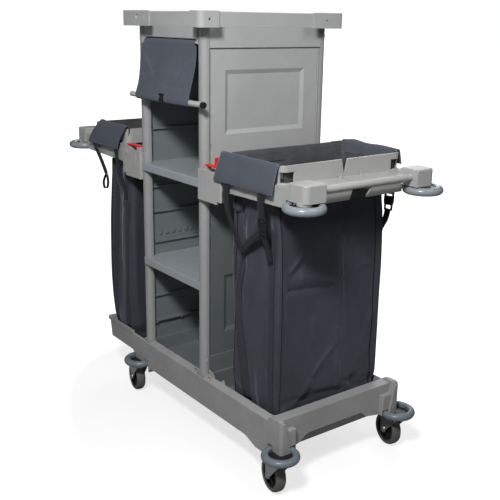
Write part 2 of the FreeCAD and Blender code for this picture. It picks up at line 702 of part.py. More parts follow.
# y, z of the opening in the skirt, and of the notch in the collar's right end
SKIRT_OPENING = [(-30.0, 800.0), (30.0, 800.0), (52.0, 832.0), (-18.0, 832.0)]
COLLAR_NOTCH = [(-2.5, 862.0), (0.5, 862.0), (9.5, COLLAR_TOP + 1), (-11.5, COLLAR_TOP + 1)]
DECK_RIBS_Y = (-110.0, -45.0, 56.0, 120.0)
DECK_HOOKS_Y = (-24.0, 52.0)
BLOCK_Y1, BLOCK_TOP = 228.0, 873.0


def frame_arm(sy):
    y0, y1 = span(sy, ARM_Y0, ARM_Y1)
    boss = cylinder((PIVOT_X, y0, PIVOT_Z), 18.0, y1 - y0, Y_DIR)
    return prism_xz(ARM, y0, y1).fuse(boss).removeSplitter()


def bumper_block(sy):
    block = box(566.0, 628.0, *span(sy, 161.0, BLOCK_Y1), 826.0, BLOCK_TOP)
    block = soften(block, 16.0, lambda edge: along(edge, Z_DIR)
                   and near(edge.BoundBox.YMax, sy * BLOCK_Y1) and edge.BoundBox.XMin > 600)
    return soften(block, 5.0, lambda edge: near(edge.BoundBox.ZMin, BLOCK_TOP))


def collar():
    """Rectangular collar that holds the bag's mouth open."""
    out = rounded_box(COLLAR_X0, COLLAR_X1, *both(212.0), 846.0, COLLAR_TOP, 20.0)
    out = out.cut(rounded_box(COLLAR_X0 + 5, COLLAR_X1 - 5, *both(207.0),
                              840.0, COLLAR_TOP + 5, 16.0))
    # trim the lower edge, except along the front and rear walls
    trim = box(COLLAR_X0 - 5, COLLAR_X1 - 8, *both(ARM_Y1 + 5), 840.0, ARM_Z1 - 0.5)
    for sy in SIGNS:
        trim = trim.cut(box(COLLAR_X0 - 6, COLLAR_X1 + 1, *span(sy, 206.0, 213.0), 830.0, ARM_Z1))
    out = out.cut(trim)
    end_x = (COLLAR_X1 - 14, COLLAR_X1 + 5)
    for sy in SIGNS:
        out = out.cut(box(*end_x, *span(sy, 172.0, 216.0), 858.0, 885.0))
    return out.cut(prism_yz(COLLAR_NOTCH, *end_x))


def bag_frame():
    pieces = []
    for sy in SIGNS:
        pieces += [frame_arm(sy), bumper_block(sy),
                   cylinder((BUMPER_X, sy * BUMPER_Y, BUMPER_SEAT_Z), 20.0, 8.0)]
    # end deck, its skirt and ribs
    pieces.append(box(513.0, 580.0, *both(ARM_Y1), 844.0, ARM_Z1))
    skirt = box(564.0, 570.0, *both(196.0), 806.0, 846.0)
    pieces.append(skirt.cut(prism_yz(SKIRT_OPENING, 550.0, 590.0)))
    for y in DECK_RIBS_Y:
        pieces.append(box(512.0, 566.0, y - 1.5, y + 1.5, 822.0, 846.0))
    pieces.append(collar())
    # small hooks on the deck
    for y in DECK_HOOKS_Y:
        pieces.append(box(526.0, 534.0, y - 5, y + 5, 854.0, 861.0))
        pieces.append(box(526.0, 529.0, y - 5, y + 5, 860.0, 867.0))
    frame = fuse(*pieces)
    for sy in SIGNS:
        # socket of the handle bar
        y0, y1 = span(sy, 120.0, 182.0)
        frame = frame.cut(cylinder((BAR_X, y0, BAR_Z), BAR_R + GAP, y1 - y0, Y_DIR))
        # room for the bumper ring and its hub
        y = sy * BUMPER_Y
        frame = frame.cut(annulus(BUMPER_X, y, 29.0, 56.8, 790.0, 825.4))
        frame = frame.cut(cylinder((BUMPER_X, y, 790.0), HUB_ROOM_R, BUMPER_SEAT_Z - 790.0))
        # hinge bore
        y0, y1 = span(sy, ARM_Y0 - 2, ARM_Y1 + 2)
        frame = frame.cut(cylinder((PIVOT_X, y0, PIVOT_Z), 5.05, y1 - y0, Y_DIR))
    return frame


frame = bag_frame()
bar = cylinder((BAR_X, -180.0, BAR_Z), BAR_R, 360.0, Y_DIR)
hubs = [hub(BUMPER_X, sy * BUMPER_Y, 806.5, BUMPER_SEAT_Z - GAP) for sy in SIGNS]
for name, pieces in (("frame", [frame]), ("handle_bar", [bar]), ("bumper_hubs", hubs)):
    save("right_" + name, *pieces)
    save("left_" + name, *[mirror_x(piece) for piece in pieces])
for sx, side in LEFT_RIGHT:
    for sy, end in FRONT_REAR:
        save("handle_bumper_" + end + "_" + side,
             ring(sx * BUMPER_X, sy * BUMPER_Y, BUMPER_Z, HANDLE_RING_R))

# ======================================================================
# bags: thin shells, open at the top, with a neck inside the collar
# ======================================================================
BAG_T = 3
BAG_Z0, BAG_TOP = BAY_Z + 1.0, 900.0


def bag(x0, x1, half_y, body_top):
    neck_x0, neck_x1, neck_y = COLLAR_X0 + 6.5, COLLAR_X1 - 7.5, 205.0
    outside = rounded_box(x0, x1, *both(half_y), BAG_Z0, body_top, 14.0)
    outside = outside.fuse(rounded_box(neck_x0, neck_x1, *both(neck_y),
                                       body_top - 16.0, BAG_TOP, 14.0))
    inside = rounded_box(x0 + BAG_T, x1 - BAG_T, *both(half_y - BAG_T),
                         BAG_Z0 + BAG_T, body_top - BAG_T, 11.0)
    inside = inside.fuse(rounded_box(neck_x0 + BAG_T, neck_x1 - BAG_T, *both(neck_y - BAG_T),
                                     body_top - 13.0, BAG_TOP + 5, 11.0))
    return outside.removeSplitter().cut(inside.removeSplitter()).removeSplitter()


save("right_bag", bag(266.0, 494.0, 196.0, 796.0))
save("left_bag", mirror_x(bag(240.0, 418.0, 197.0, 756.0)))

# ======================================================================
# roll-down cover of the top bay
# ======================================================================
HANG_R = 4.0              # rod that the cover hangs from
HANG_BORE_R = 4.05
FABRIC_T = 2.6
# y, z down the outer face of the sheet
SHEET = [(-222.5, 1186.0), (-225.2, 1150.0), (-230.0, 1110.0),
         (-237.0, 1075.0), (-243.5, 1048.0), (-248.0, 1024.0)]


def on_rod(x0, radius, length):
    return cylinder((x0, ROD_Y, ROD_Z), radius, length, X_DIR)


def on_hanger(x0, radius, length):
    return cylinder((x0, COVER_Y, COVER_Z), radius, length, X_DIR)


def cover_rail():
    rail = on_hanger(-OPENING_X, HANG_R, 2 * OPENING_X)
    for sx in SIGNS:
        rail = rail.fuse(box(*span(sx, 141.0, OPENING_X), COVER_Y - 2.0, COVER_Y + 6.0,
                             COVER_Z - 3.0, RAIL_Z0 - GAP))
    return rail.removeSplitter()


def cover_fabric():
    loop = on_hanger(-138.0, 6.5, 276.0).cut(on_hanger(-140.0, HANG_BORE_R, 280.0))
    inner = [(y + FABRIC_T, z) for y, z in SHEET]
    sheet = prism_yz(SHEET + inner[::-1], *both(138.0))
    # the wider part starts below the loop
    wide = prism_yz([(-224.6, 1179.0)] + SHEET[1:] + inner[:0:-1] + [(-222.0, 1179.0)],
                    -154.0, 148.0)
    pocket = on_rod(-152.0, 10.6, 295.0)
    cover = fuse(loop, sheet, wide, pocket)
    cover = cover.cut(on_rod(-160.0, ROD_R + GAP, 320.0))
    cover = cover.cut(on_hanger(-160.0, HANG_BORE_R, 320.0))
    # opening for the clip
    for y1, z1 in ((ROD_Y + 5.0, 1040.0), (ROD_Y + 20.0, 1026.0)):
        cover = cover.cut(box(-17.0, 11.0, ROD_Y - 20.0, y1, 1010.0, z1))
    return cover.removeSplitter()


def cover_clip():
    clip = on_rod(-14.0, 11.0, 22.0).cut(on_rod(-15.0, ROD_R + GAP, 24.0))
    return clip.cut(box(-20.0, 14.0, ROD_Y + 4.0, ROD_Y + 20.0, 1000.0, 1050.0))


save("cover_rail", cover_rail())
save("cover_fabric", cover_fabric())
save("cover_rod", on_rod(ROD_X0, ROD_R, ROD_X1 - ROD_X0))
save("cover_rod_caps", on_rod(ROD_X1 + GAP, 8.8, 9.0), on_rod(ROD_X0 - GAP - 2.0, 8.0, 2.0))
save("cover_clip", cover_clip())
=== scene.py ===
"""Housekeeping cart: cloth bags, cover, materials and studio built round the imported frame.

Metres, +Z up. The open shelf side faces -Y (front); the right bag hangs at +X, the left at -X.
Fold and crease tables are in millimetres and say so.
"""
import math

import bmesh
import bpy
import numpy as np
from mathutils import Matrix, Vector, noise
from mathutils.bvhtree import BVHTree


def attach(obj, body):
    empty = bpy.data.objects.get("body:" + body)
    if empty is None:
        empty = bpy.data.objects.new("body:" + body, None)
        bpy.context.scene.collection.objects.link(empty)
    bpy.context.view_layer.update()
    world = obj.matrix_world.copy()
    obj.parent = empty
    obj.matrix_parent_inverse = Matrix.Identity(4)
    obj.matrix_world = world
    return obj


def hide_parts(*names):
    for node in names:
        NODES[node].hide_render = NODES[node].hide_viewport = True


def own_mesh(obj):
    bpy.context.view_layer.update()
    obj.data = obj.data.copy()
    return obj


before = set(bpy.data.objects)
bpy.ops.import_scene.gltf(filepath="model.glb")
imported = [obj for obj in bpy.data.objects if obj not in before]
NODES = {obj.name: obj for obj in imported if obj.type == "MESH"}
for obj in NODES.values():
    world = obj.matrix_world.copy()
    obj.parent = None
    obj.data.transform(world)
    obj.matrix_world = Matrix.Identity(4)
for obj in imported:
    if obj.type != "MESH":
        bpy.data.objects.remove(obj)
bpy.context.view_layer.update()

SCENE = bpy.context.scene
SCENE.view_settings.view_transform = "Standard"


# ----------------------------------------------------------------------
# shader helpers
# ----------------------------------------------------------------------
def feed(tree, target, inputs):
    """Fills a node's inputs: a socket is linked, anything else is set as the value."""
    for key, value in inputs.items():
        if isinstance(value, bpy.types.NodeSocket):
            tree.links.new(value, target.inputs[key])
        else:
            target.inputs[key].default_value = value


def node(tree, kind, inputs=None, **settings):
    made = tree.nodes.new("ShaderNode" + kind)
    for key, value in settings.items():
        setattr(made, key, value)
    feed(tree, made, inputs or {})
    return made


def new_material(name):
    material = bpy.data.materials.new(name)
    material.use_nodes = True
    tree = material.node_tree
    tree.nodes.clear()
    output = node(tree, "OutputMaterial")
    shader = node(tree, "BsdfPrincipled")
    tree.links.new(shader.outputs[0], output.inputs[0])
    return material, tree, shader


def coords(tree, scale=(1, 1, 1)):
    place = node(tree, "TexCoord").outputs["Object"]
    return node(tree, "Mapping", {"Scale": scale, "Vector": place}).outputs[0]


def noise_tex(tree, place, scale, detail, rough=0.5):
    inputs = {"Scale": scale, "Detail": detail, "Roughness": rough, "Vector": place}
    return node(tree, "TexNoise", inputs)


def calc(tree, operation, first, second):
    return node(tree, "Math", {0: first, 1: second}, operation=operation).outputs[0]


def mix_colour(tree, share, first, second, blend="MIX"):
    first, second = ((*c, 1.0) if isinstance(c, tuple) else c for c in (first, second))
    inputs = {0: share, 6: first, 7: second}
    return node(tree, "Mix", inputs, data_type="RGBA", blend_type=blend).outputs[2]


def ramp(tree, source, *stops):
    """Grey ramp through two stops (position, grey)."""
    made = node(tree, "ValToRGB", {0: source})
    for element, (position, grey) in zip(made.color_ramp.elements, stops):
        element.position = position
        element.color = (grey, grey, grey, 1)
    return made.outputs[0]


def spread(tree, value, low, high):
    """Stretches a 0-1 value over low to high."""
    inputs = {"To Min": low, "To Max": high, "Value": value}
    return node(tree, "MapRange", inputs).outputs[0]


def bump_map(tree, height, strength, distance, normal=None):
    inputs = {"Strength": strength, "Distance": distance, "Height": height}
    if normal:
        inputs["Normal"] = normal
    return node(tree, "Bump", inputs).outputs[0]


def soft_edges(tree, radius):
    return node(tree, "Bevel", {"Radius": radius}, samples=4).outputs[0]


def scaled(colour, factor):
    return tuple(c * factor for c in colour)


# ----------------------------------------------------------------------
# kinds of material
# ----------------------------------------------------------------------
def plastic(name, base, rough=0.46, bump=0.12, grain=900.0, mottle=0.06, bevel=0.0016,
            wear=0.10, dirt=0.10, spec=0.42):
    """Moulded plastic: fine texture, faint flow mottling, paler worn edges, softened corners."""
    material, tree, shader = new_material(name)
    place = coords(tree)
    flow = noise_tex(tree, place, scale=7.0, detail=4.0, rough=0.55).outputs["Fac"]
    fine = noise_tex(tree, place, scale=grain, detail=2.0, rough=0.6).outputs["Fac"]
    stain = noise_tex(tree, place, scale=55.0, detail=3.0).outputs["Fac"]
    colour = mix_colour(tree, ramp(tree, flow, (0.35, 0.0), (0.68, 1.0)),
                        scaled(base, 1 - mottle), scaled(base, 1 + mottle))
    colour = mix_colour(tree, ramp(tree, stain, (0.3, 0.0), (0.75, 0.35)),
                        colour, scaled(base, 1 - dirt))
    # where the bevelled normal leaves the true one, the skin is scuffed a little paler
    soft = soft_edges(tree, bevel)
    true = node(tree, "NewGeometry").outputs["Normal"]
    match = node(tree, "VectorMath", {0: soft, 1: true}, operation="DOT_PRODUCT")
    edge = ramp(tree, match.outputs["Value"], (0.86, 1.0), (0.995, 0.0))
    worn = tuple(min(1.0, c * 1.7 + 0.05) for c in base)
    colour = mix_colour(tree, calc(tree, "MULTIPLY", edge, wear), colour, worn)
    feed(tree, shader, {
        "Base Color": colour,
        "Roughness": spread(tree, stain, low=rough - 0.05, high=rough + 0.08),
        "Specular IOR Level": spec,
        "Normal": bump_map(tree, fine, strength=bump, distance=0.0004, normal=soft),
    })
    return material


WEAVE_SCALE = 620.0 / 6.2832 * 3    # wave scale of the cloth's threads


def fabric(name, base, rough=0.62, sheen=0.25, weave=1.0, blotch=0.16):
    """Coated woven nylon: thread-scale weave, soft creasing and slight colour drift."""
    material, tree, shader = new_material(name)
    place = coords(tree)
    bands = []
    for axis in "XZY":
        inputs = {"Scale": WEAVE_SCALE, "Distortion": 0.5, "Detail": 1.0, "Vector": place}
        wave = node(tree, "TexWave", inputs, wave_type="BANDS", bands_direction=axis)
        bands.append(wave.outputs["Fac"])
    threads = calc(tree, "ADD", calc(tree, "ADD", bands[0], bands[1]), bands[2])
    drift = noise_tex(tree, place, scale=9.0, detail=5.0, rough=0.6).outputs["Fac"]
    crease = noise_tex(tree, place, scale=45.0, detail=4.0, rough=0.6).outputs["Fac"]
    fleck = noise_tex(tree, place, scale=380.0, detail=2.0).outputs["Fac"]
    colour = mix_colour(tree, ramp(tree, drift, (0.3, 0.0), (0.7, 1.0)),
                        scaled(base, 1 - blotch), scaled(base, 1 + blotch))
    colour = mix_colour(tree, ramp(tree, fleck, (0.35, 0.0), (0.8, 0.4)),
                        colour, scaled(base, 1.35))
    woven = bump_map(tree, threads, strength=0.20 * weave, distance=0.0003)
    feed(tree, shader, {
        "Base Color": colour,
        "Roughness": rough,
        "Specular IOR Level": 0.32,
        "Sheen Weight": sheen,
        "Sheen Roughness": 0.4,
        "Sheen Tint": (0.6, 0.68, 0.85, 1),
        "Normal": bump_map(tree, crease, strength=0.30, distance=0.0022, normal=woven),
    })
    return material


def metal(name, base, rough, grain):
    """Metal; grain is the noise frequency along each axis."""
    material, tree, shader = new_material(name)
    marks = noise_tex(tree, coords(tree, grain), scale=1.0, detail=3.0).outputs["Fac"]
    soft = soft_edges(tree, 0.0006)
    feed(tree, shader, {
        "Base Color": mix_colour(tree, marks, scaled(base, 0.8), base),
        "Metallic": 0.92,
        "Roughness": spread(tree, marks, low=rough - 0.08, high=rough + 0.14),
        "Normal": bump_map(tree, marks, strength=0.12, distance=0.0002, normal=soft),
    })
    return material


def webbing(name, base):
    """Woven strap: ribs across its length, speckled colour."""
    material, tree, shader = new_material(name)
    place = coords(tree)
    inputs = {"Scale": 260.0, "Distortion": 0.8, "Vector": place}
    ribs = node(tree, "TexWave", inputs, bands_direction="Z").outputs["Fac"]
    speckle = noise_tex(tree, place, scale=300.0, detail=3.0).outputs["Color"]
    colour = mix_colour(tree, ribs, scaled(base, 0.7), scaled(base, 1.25))
    feed(tree, shader, {
        "Base Color": mix_colour(tree, 0.12, colour, speckle, blend="OVERLAY"),
        "Roughness": 0.75,
        "Sheen Weight": 0.05,
        "Normal": bump_map(tree, ribs, strength=0.4, distance=0.0005),
    })
    return material


def paint_shade(material, steps, tint):
    """Painted shade in a region: a darker, tinted tone over the product of soft steps (axis, none
    at, full at).
    """
    tree = material.node_tree
    shader = tree.nodes["Principled BSDF"]
    source = shader.inputs["Base Color"].links[0].from_socket
    split = node(tree, "SeparateXYZ", {0: coords(tree)})
    share = None
    for axis, none_at, full_at in steps:
        value = split.outputs[axis]
        sign = 1.0 if full_at > none_at else -1.0
        if sign < 0:
            value = calc(tree, "MULTIPLY", value, -1.0)
        inputs = {"From Min": none_at * sign, "From Max": full_at * sign, "Value": value}
        step = node(tree, "MapRange", inputs, interpolation_type="SMOOTHSTEP").outputs[0]
        share = calc(tree, "MULTIPLY", share, step) if share else step
    tinted = mix_colour(tree, 1.0, source, tint, blend="MULTIPLY")
    feed(tree, shader, {"Base Color": mix_colour(tree, share, source, tinted)})


# ----------------------------------------------------------------------
# the cart's materials
# ----------------------------------------------------------------------
plastic("grey_moulding", (0.345, 0.352, 0.345))     # the plain grey, on no piece
# painted shade: a darker, bluer copy of the panel grey for the left side panel, whose inner face
# is seen in the cabinet's shade
GREY_INNER_SHADE = plastic("grey_inner", (0.175, 0.20, 0.205), rough=0.46, mottle=0.05)
GREY_FRAME = plastic("grey_frame", (0.40, 0.405, 0.395), rough=0.40)
GREY_POST = plastic("grey_post", (0.325, 0.333, 0.328), rough=0.36, grain=1400.0)
GREY_TRAY = plastic("grey_tray", (0.40, 0.407, 0.405), rough=0.42)
GREY_SHELF = plastic("grey_shelf", (0.335, 0.365, 0.39), rough=0.34)
GREY_BASE = plastic("grey_base", (0.315, 0.318, 0.313), rough=0.48, bump=0.18, mottle=0.09,
                    dirt=0.16)
BASE_DEPTH = [("Y", -0.2045, -0.2005), ("Y", 0.2045, 0.2005)]
# painted shade on the base: the middle of the base, inside the cabinet, then the strip beside it
# towards +X, between the cabinet and the right bag
paint_shade(GREY_BASE, [("X", -0.1652, -0.1641), ("X", 0.1652, 0.1641)] + BASE_DEPTH,
       tint=(0.52, 0.58, 0.63))
paint_shade(GREY_BASE, [("X", 0.1722, 0.1735), ("X", 0.320, 0.262)] + BASE_DEPTH,
       tint=(0.48, 0.54, 0.57))
GREY_SIDE = plastic("grey_side_panel", (0.40, 0.407, 0.405), rough=0.42)
# painted shadow: the right side panel is darker and bluer below the bag frame, where the bag and
# its frame shade it
paint_shade(GREY_SIDE, [("Z", 0.80, 0.745)], tint=(0.33, 0.37, 0.38))
# painted shade: the rear panel is near black, standing in for the shade at the back of the
# cabinet
GREY_REAR_SHADE = plastic("grey_rear_panel", (0.085, 0.099, 0.103), rough=0.5, mottle=0.05)
BASE_RING = plastic("bumper_ring", (0.155, 0.19, 0.22), rough=0.34, bump=0.05, bevel=0.0008,
                    wear=0.04, spec=0.5)
HANDLE_RING = plastic("handle_bumper_ring", (0.25, 0.285, 0.31), rough=0.26, bump=0.04,
                      bevel=0.0008, wear=0.04, spec=0.55)
BLACK = plastic("black_moulding", (0.012, 0.012, 0.014), rough=0.42, mottle=0.1, bevel=0.001,
                wear=0.12)
TREAD = plastic("tread", (0.12, 0.118, 0.112), rough=0.62, bump=0.3, grain=500.0, mottle=0.12,
                bevel=0.001)
RED = plastic("red_catch", (0.85, 0.012, 0.016), rough=0.28, bump=0.04, mottle=0.05,
              bevel=0.001)
ZINC = metal("zinc", (0.62, 0.63, 0.64), rough=0.30, grain=(40, 40, 900))
SCREW = metal("screw", (0.16, 0.16, 0.17), rough=0.38, grain=(60, 60, 60))
PALE = plastic("pale_rod", (0.46, 0.475, 0.47), rough=0.30, bump=0.05, bevel=0.001)
BAG_CLOTH = fabric("bag_fabric", (0.043, 0.0455, 0.0585))
COVER_CLOTH = fabric("cover_cloth", (0.082, 0.096, 0.118), rough=0.66, blotch=0.10)
FLAP_CLOTH = fabric("flap_cloth", (0.070, 0.082, 0.101), rough=0.64, blotch=0.10)
# painted light: a paler copy of the flap cloth, used on the right bag's rear flap
REAR_CLOTH_LIT = fabric("rear_flap_cloth", (0.092, 0.103, 0.124), rough=0.64, blotch=0.22)
LINING = fabric("bag_lining", (0.068, 0.069, 0.072), rough=0.72, blotch=0.42)
WEB = webbing("webbing", (0.0075, 0.0085, 0.012))
WEB_BAND = webbing("webbing_band", (0.024, 0.026, 0.034))
WEB_BLACK = webbing("webbing_black", (0.008, 0.008, 0.009))
PIPING = fabric("piping", (0.009, 0.009, 0.012), rough=0.5, weave=0.5, sheen=0.08)


def paint(material, names):
    for name in names.split():
        slots = NODES[name].data.materials
        slots.clear()
        slots.append(material)


paint(GREY_BASE, "base_moulding left_tray")
paint(GREY_TRAY, "top_tray top_corner_caps top_front_rail side_fascias")
paint(GREY_SHELF, "upper_shelf lower_shelf")
paint(GREY_SIDE, "right_side_panel")
paint(GREY_INNER_SHADE, "left_side_panel")
paint(GREY_REAR_SHADE, "rear_panel")
paint(GREY_FRAME, "post_screws")
paint(SCREW, "tray_bolts")
paint(BLACK, "base_bumper_hubs cover_rod_caps cover_clip")
paint(PALE, "cover_rail cover_rod")
for side in ("right", "left"):
    paint(GREY_FRAME, f"{side}_frame {side}_brackets {side}_handle_bar {side}_hinge_pins")
    paint(BLACK, f"{side}_bumper_hubs")
    for end in ("front", "rear"):
        corner = f"{end}_{side}"
        paint(GREY_POST, corner + "_post")
        paint(BASE_RING, "base_bumper_" + corner)
        paint(ZINC, "castor_fork_" + corner)
        paint(BLACK, "castor_core_" + corner)
        paint(TREAD, "castor_tread_" + corner)
        paint(HANDLE_RING, "handle_bumper_" + corner)
        paint(RED, f"{side}_{end}_catch")


# ----------------------------------------------------------------------
# mesh helpers
# ----------------------------------------------------------------------
def put(name, data):
    """A new object in the scene."""
    made = bpy.data.objects.new(name, data)
    SCENE.collection.objects.link(made)
    return made


def smooth(mesh):
    for face in mesh.polygons:
        face.use_smooth = True


def make(name, verts, faces, material):
    """A smooth cloth piece."""
    mesh = bpy.data.meshes.new(name)
    mesh.from_pydata([tuple(map(float, v)) for v in verts], [],
                     [tuple(map(int, f)) for f in faces])
    mesh.update()
    made = put(name, mesh)
    mesh.materials.append(material)
    smooth(mesh)
    return made


def apply_modifiers(piece):
    bpy.context.view_layer.update()
    graph = bpy.context.evaluated_depsgraph_get()
    mesh = bpy.data.meshes.new_from_object(piece.evaluated_get(graph),
                                           preserve_all_data_layers=False, depsgraph=graph)
    old = piece.data
    piece.modifiers.clear()
    piece.data = mesh
    smooth(mesh)
    bpy.data.meshes.remove(old)


def thicken(piece, thickness, offset=0.0):
    solid = piece.modifiers.new("solid", "SOLIDIFY")
    solid.thickness = thickness
    solid.offset = offset
    solid.use_even_offset = True
    solid.use_quality_normals = True
    apply_modifiers(piece)


def subdivide(piece, levels):
    modifier = piece.modifiers.new("sub", "SUBSURF")
    modifier.levels = modifier.render_levels = levels
    apply_modifiers(piece)


def grid_faces(columns, rows, closed):
    """Quads over a grid of points; closed joins the last column to the first."""
    faces = []
    for j in range(rows - 1):
        for i in range(columns if closed else columns - 1):
            a = j * columns + i
            b = j * columns + (i + 1) % columns
            faces.append((a, b, b + columns, a + columns))
    return faces


def summed_normal(faces):
    return sum((face.normal for face in faces), Vector())


# ----------------------------------------------------------------------
# curves and fields
# ----------------------------------------------------------------------
def smoothstep(a, b, x):
    t = np.clip((x - a) / (b - a), 0, 1)
    return t * t * (3 - 2 * t)


def bell(x, centre, width):
    return np.exp(-((x - centre) / width) ** 2)


def interp(x, stations, values):
    """Smooth cubic curve through points."""
    x = np.asarray(x, float)
    xs, ys = np.array(stations, float), np.array(values, float)
    order = np.argsort(xs)
    xs, ys = xs[order], ys[order]
    slope = np.gradient(ys, xs)
    k = np.clip(np.searchsorted(xs, x) - 1, 0, len(xs) - 2)
    h = xs[k + 1] - xs[k]
    t = np.clip((x - xs[k]) / h, 0, 1)
    return ((2 * t**3 - 3 * t**2 + 1) * ys[k] + (t**3 - 2 * t**2 + t) * h * slope[k]
            + (-2 * t**3 + 3 * t**2) * ys[k + 1] + (t**3 - t**2) * h * slope[k + 1])


def even_stations(lengths, count):
    """Distances along a line at its points, and at count even stations."""
    along = np.concatenate([[0], np.cumsum(lengths)])
    return along, np.linspace(0, along[-1], count)


def resample(points, count, curve=interp):
    """Evenly spaced points on a 3-D line."""
    points = np.array(points, float)
    lengths = np.linalg.norm(np.diff(points, axis=0), axis=1)
    along, even = even_stations(lengths, count)
    return np.stack([curve(even, along, points[:, k]) for k in range(3)], axis=1)


def soften(values, passes):
    """Averages neighbours in place; the ends stay."""
    for _ in range(passes):
        values[1:-1] = (values[:-2] + 2 * values[1:-1] + values[2:]) / 4


def ridge(p, q, p0, q0, p1, q1, width, height, taper):
    """A fold from (p0, q0) to (p1, q1): crisp on its crest, faded at both ends."""
    start = np.array((p0, q0), float)
    run = np.array((p1, q1), float) - start
    t = np.clip(((p - start[0]) * run[0] + (q - start[1]) * run[1]) / (run @ run), 0, 1)
    distance = np.hypot(p - start[0] - t * run[0], q - start[1] - t * run[1])
    fade = np.clip(np.minimum(t, 1 - t) / taper, 0, 1)
    fade = fade * fade * (3 - 2 * fade)
    return height * fade * np.exp(-distance / width)


def folds(p, q, table, taper=0.22):
    """All the folds of a table. Rows: p and q of one end, of the other, width, height."""
    return sum(ridge(p, q, *row, taper) for row in table)


def noise_field(points, seed, squeeze):
    """Three octaves of noise at each point; squeeze draws it out along z."""
    field = []
    for x, y, z in points:
        total, share, scale = 0.0, 1.0, 6.0
        for _ in range(3):
            total += share * noise.noise(Vector((x * scale + seed, y * scale - seed,
                                                 z * squeeze * scale + 3.1 * seed)))
            share *= 0.5
            scale *= 2.03
        field.append(total)
    return np.array(field)


# ----------------------------------------------------------------------
# bag bodies
# ----------------------------------------------------------------------
BAG_FLOOR, BAG_TOP = 0.1532, 0.802
BAG_CORNER = 0.012          # upright corner radius above the foot, beyond CORNER_MIN
CORNER_MIN = 0.004
FLOOR_LIFT = 0.0008         # the floor's inner rings above its edge


def relax(piece, pinned):
    """Lets the sheet settle: slightly too large for its outline, it buckles into soft folds."""
    frames = 18
    grow = 0.025            # extra cloth, as a share
    reach = 0.012           # no point moves further than this
    stiffness = 18.0
    rest = np.array([v.co for v in piece.data.vertices], float)
    group = piece.vertex_groups.new(name="hold")
    for i, weight in enumerate(pinned):
        if weight > 0:
            group.add([i], float(weight), "REPLACE")
    cloth = piece.modifiers.new("cloth", "CLOTH")
    settings = cloth.settings
    settings.quality = 6
    settings.mass = 0.28
    settings.tension_stiffness = settings.compression_stiffness = stiffness
    settings.shear_stiffness = stiffness * 0.6
    settings.bending_stiffness = 1.2
    settings.tension_damping = settings.compression_damping = 12.0
    settings.air_damping = 3.0
    settings.vertex_group_mass = "hold"
    settings.shrink_min = -grow
    settings.effector_weights.gravity = 0.35
    cloth.collision_settings.use_collision = False
    cloth.collision_settings.use_self_collision = False
    cloth.point_cache.frame_start = 1
    cloth.point_cache.frame_end = frames
    for number in range(1, frames + 1):
        SCENE.frame_set(number)
    graph = bpy.context.evaluated_depsgraph_get()
    settled = np.array([v.co for v in piece.evaluated_get(graph).data.vertices], float)
    SCENE.frame_set(1)
    piece.modifiers.clear()
    piece.vertex_groups.clear()
    move = settled - rest
    length = np.linalg.norm(move, axis=1)
    limit = reach * np.tanh(length / reach) / np.maximum(length, 1e-9)
    final = rest + move * limit[:, None]
    piece.data.vertices.foreach_set("co", final.astype(np.float32).ravel())
    piece.data.update()


def ring_points(x0, x1, y0, y1, r, count):
    """Points (x, y, outward normal) round a rectangle with rounded corners.

    They start in the middle of its x0 side and pass y0 first."""
    wide, deep = x1 - x0 - 2 * r, y1 - y0 - 2 * r
    arc = math.pi * r / 2
    # sides: length, start, direction; corners: length, centre, start angle
    runs = [(deep / 2, x0, (y0 + y1) / 2, 0, -1), (arc, x0 + r, y0 + r, math.pi),
            (wide, x0 + r, y0, 1, 0), (arc, x1 - r, y0 + r, 1.5 * math.pi),
            (deep, x1, y0 + r, 0, 1), (arc, x1 - r, y1 - r, 0.0),
            (wide, x1 - r, y1, -1, 0), (arc, x0 + r, y1 - r, 0.5 * math.pi),
            (deep / 2, x0, y1 - r, 0, -1)]
    total = 2 * wide + 2 * deep + 4 * arc
    points = []
    for i in range(count):
        s = total * i / count
        for run in runs:
            if s <= run[0] + 1e-12:
                break
            s -= run[0]
        if len(run) == 5:
            _, x, y, dx, dy = run
            points.append((x + dx * s, y + dy * s, dy, -dx))
        else:
            _, x, y, start = run
            c, s = math.cos(start + s / r), math.sin(start + s / r)
            points.append((x + r * c, y + r * s, c, s))
    return np.array(points)


def bag_shell(name, outline, around, rows, bulge):
    """Open-topped bag lofted from floor to mouth; bulge gives the outward displacement."""
    verts, normals = [], []
    for z in np.linspace(BAG_FLOOR, BAG_TOP, rows):
        rise = float(smoothstep(BAG_FLOOR - 0.02, BAG_FLOOR + 0.06, z))
        x0, x1, y0, y1 = (float(interp(z, *edge)) for edge in outline)
        for x, y, nx, ny in ring_points(x0, x1, y0, y1, BAG_CORNER * rise + CORNER_MIN, around):
            verts.append((x, y, z))
            normals.append((nx, ny, 0))
    verts, normals = np.array(verts), np.array(normals)
    verts = verts + normals * bulge(verts, normals)[:, None]
    faces = grid_faces(around, rows, True)
    # floor of the bag: rings drawn in to the middle
    base = verts[:around].copy()
    centre = base.mean(0)
    count = len(verts)
    extra = []
    outer = list(range(around))
    for share in (0.66, 0.33):
        inner = [count + len(extra) + i for i in range(around)]
        for i in range(around):
            point = centre + (base[i] - centre) * share
            point[2] = BAG_FLOOR + FLOOR_LIFT
            extra.append(point)
        for i in range(around):
            after = (i + 1) % around
            faces.append((outer[after], outer[i], inner[i], inner[after]))
        outer = inner
    middle = count + len(extra)
    extra.append(np.array([centre[0], centre[1], BAG_FLOOR + FLOOR_LIFT]))
    for i in range(around):
        faces.append((outer[(i + 1) % around], outer[i], middle))
    return make(name, np.vstack([verts, np.array(extra)]), faces, BAG_CLOTH)


def displace(piece, field):
    """Moves each point along its normal by field(points, normals)."""
    mesh = piece.data
    points, normals = np.zeros((2, len(mesh.vertices) * 3), np.float32)
    mesh.vertices.foreach_get("co", points)
    mesh.vertices.foreach_get("normal", normals)
    points = points.reshape(-1, 3).astype(float)
    normals = normals.reshape(-1, 3).astype(float)
    moved = points + normals * field(points, normals)[:, None]
    mesh.vertices.foreach_set("co", moved.astype(np.float32).ravel())
    mesh.update()


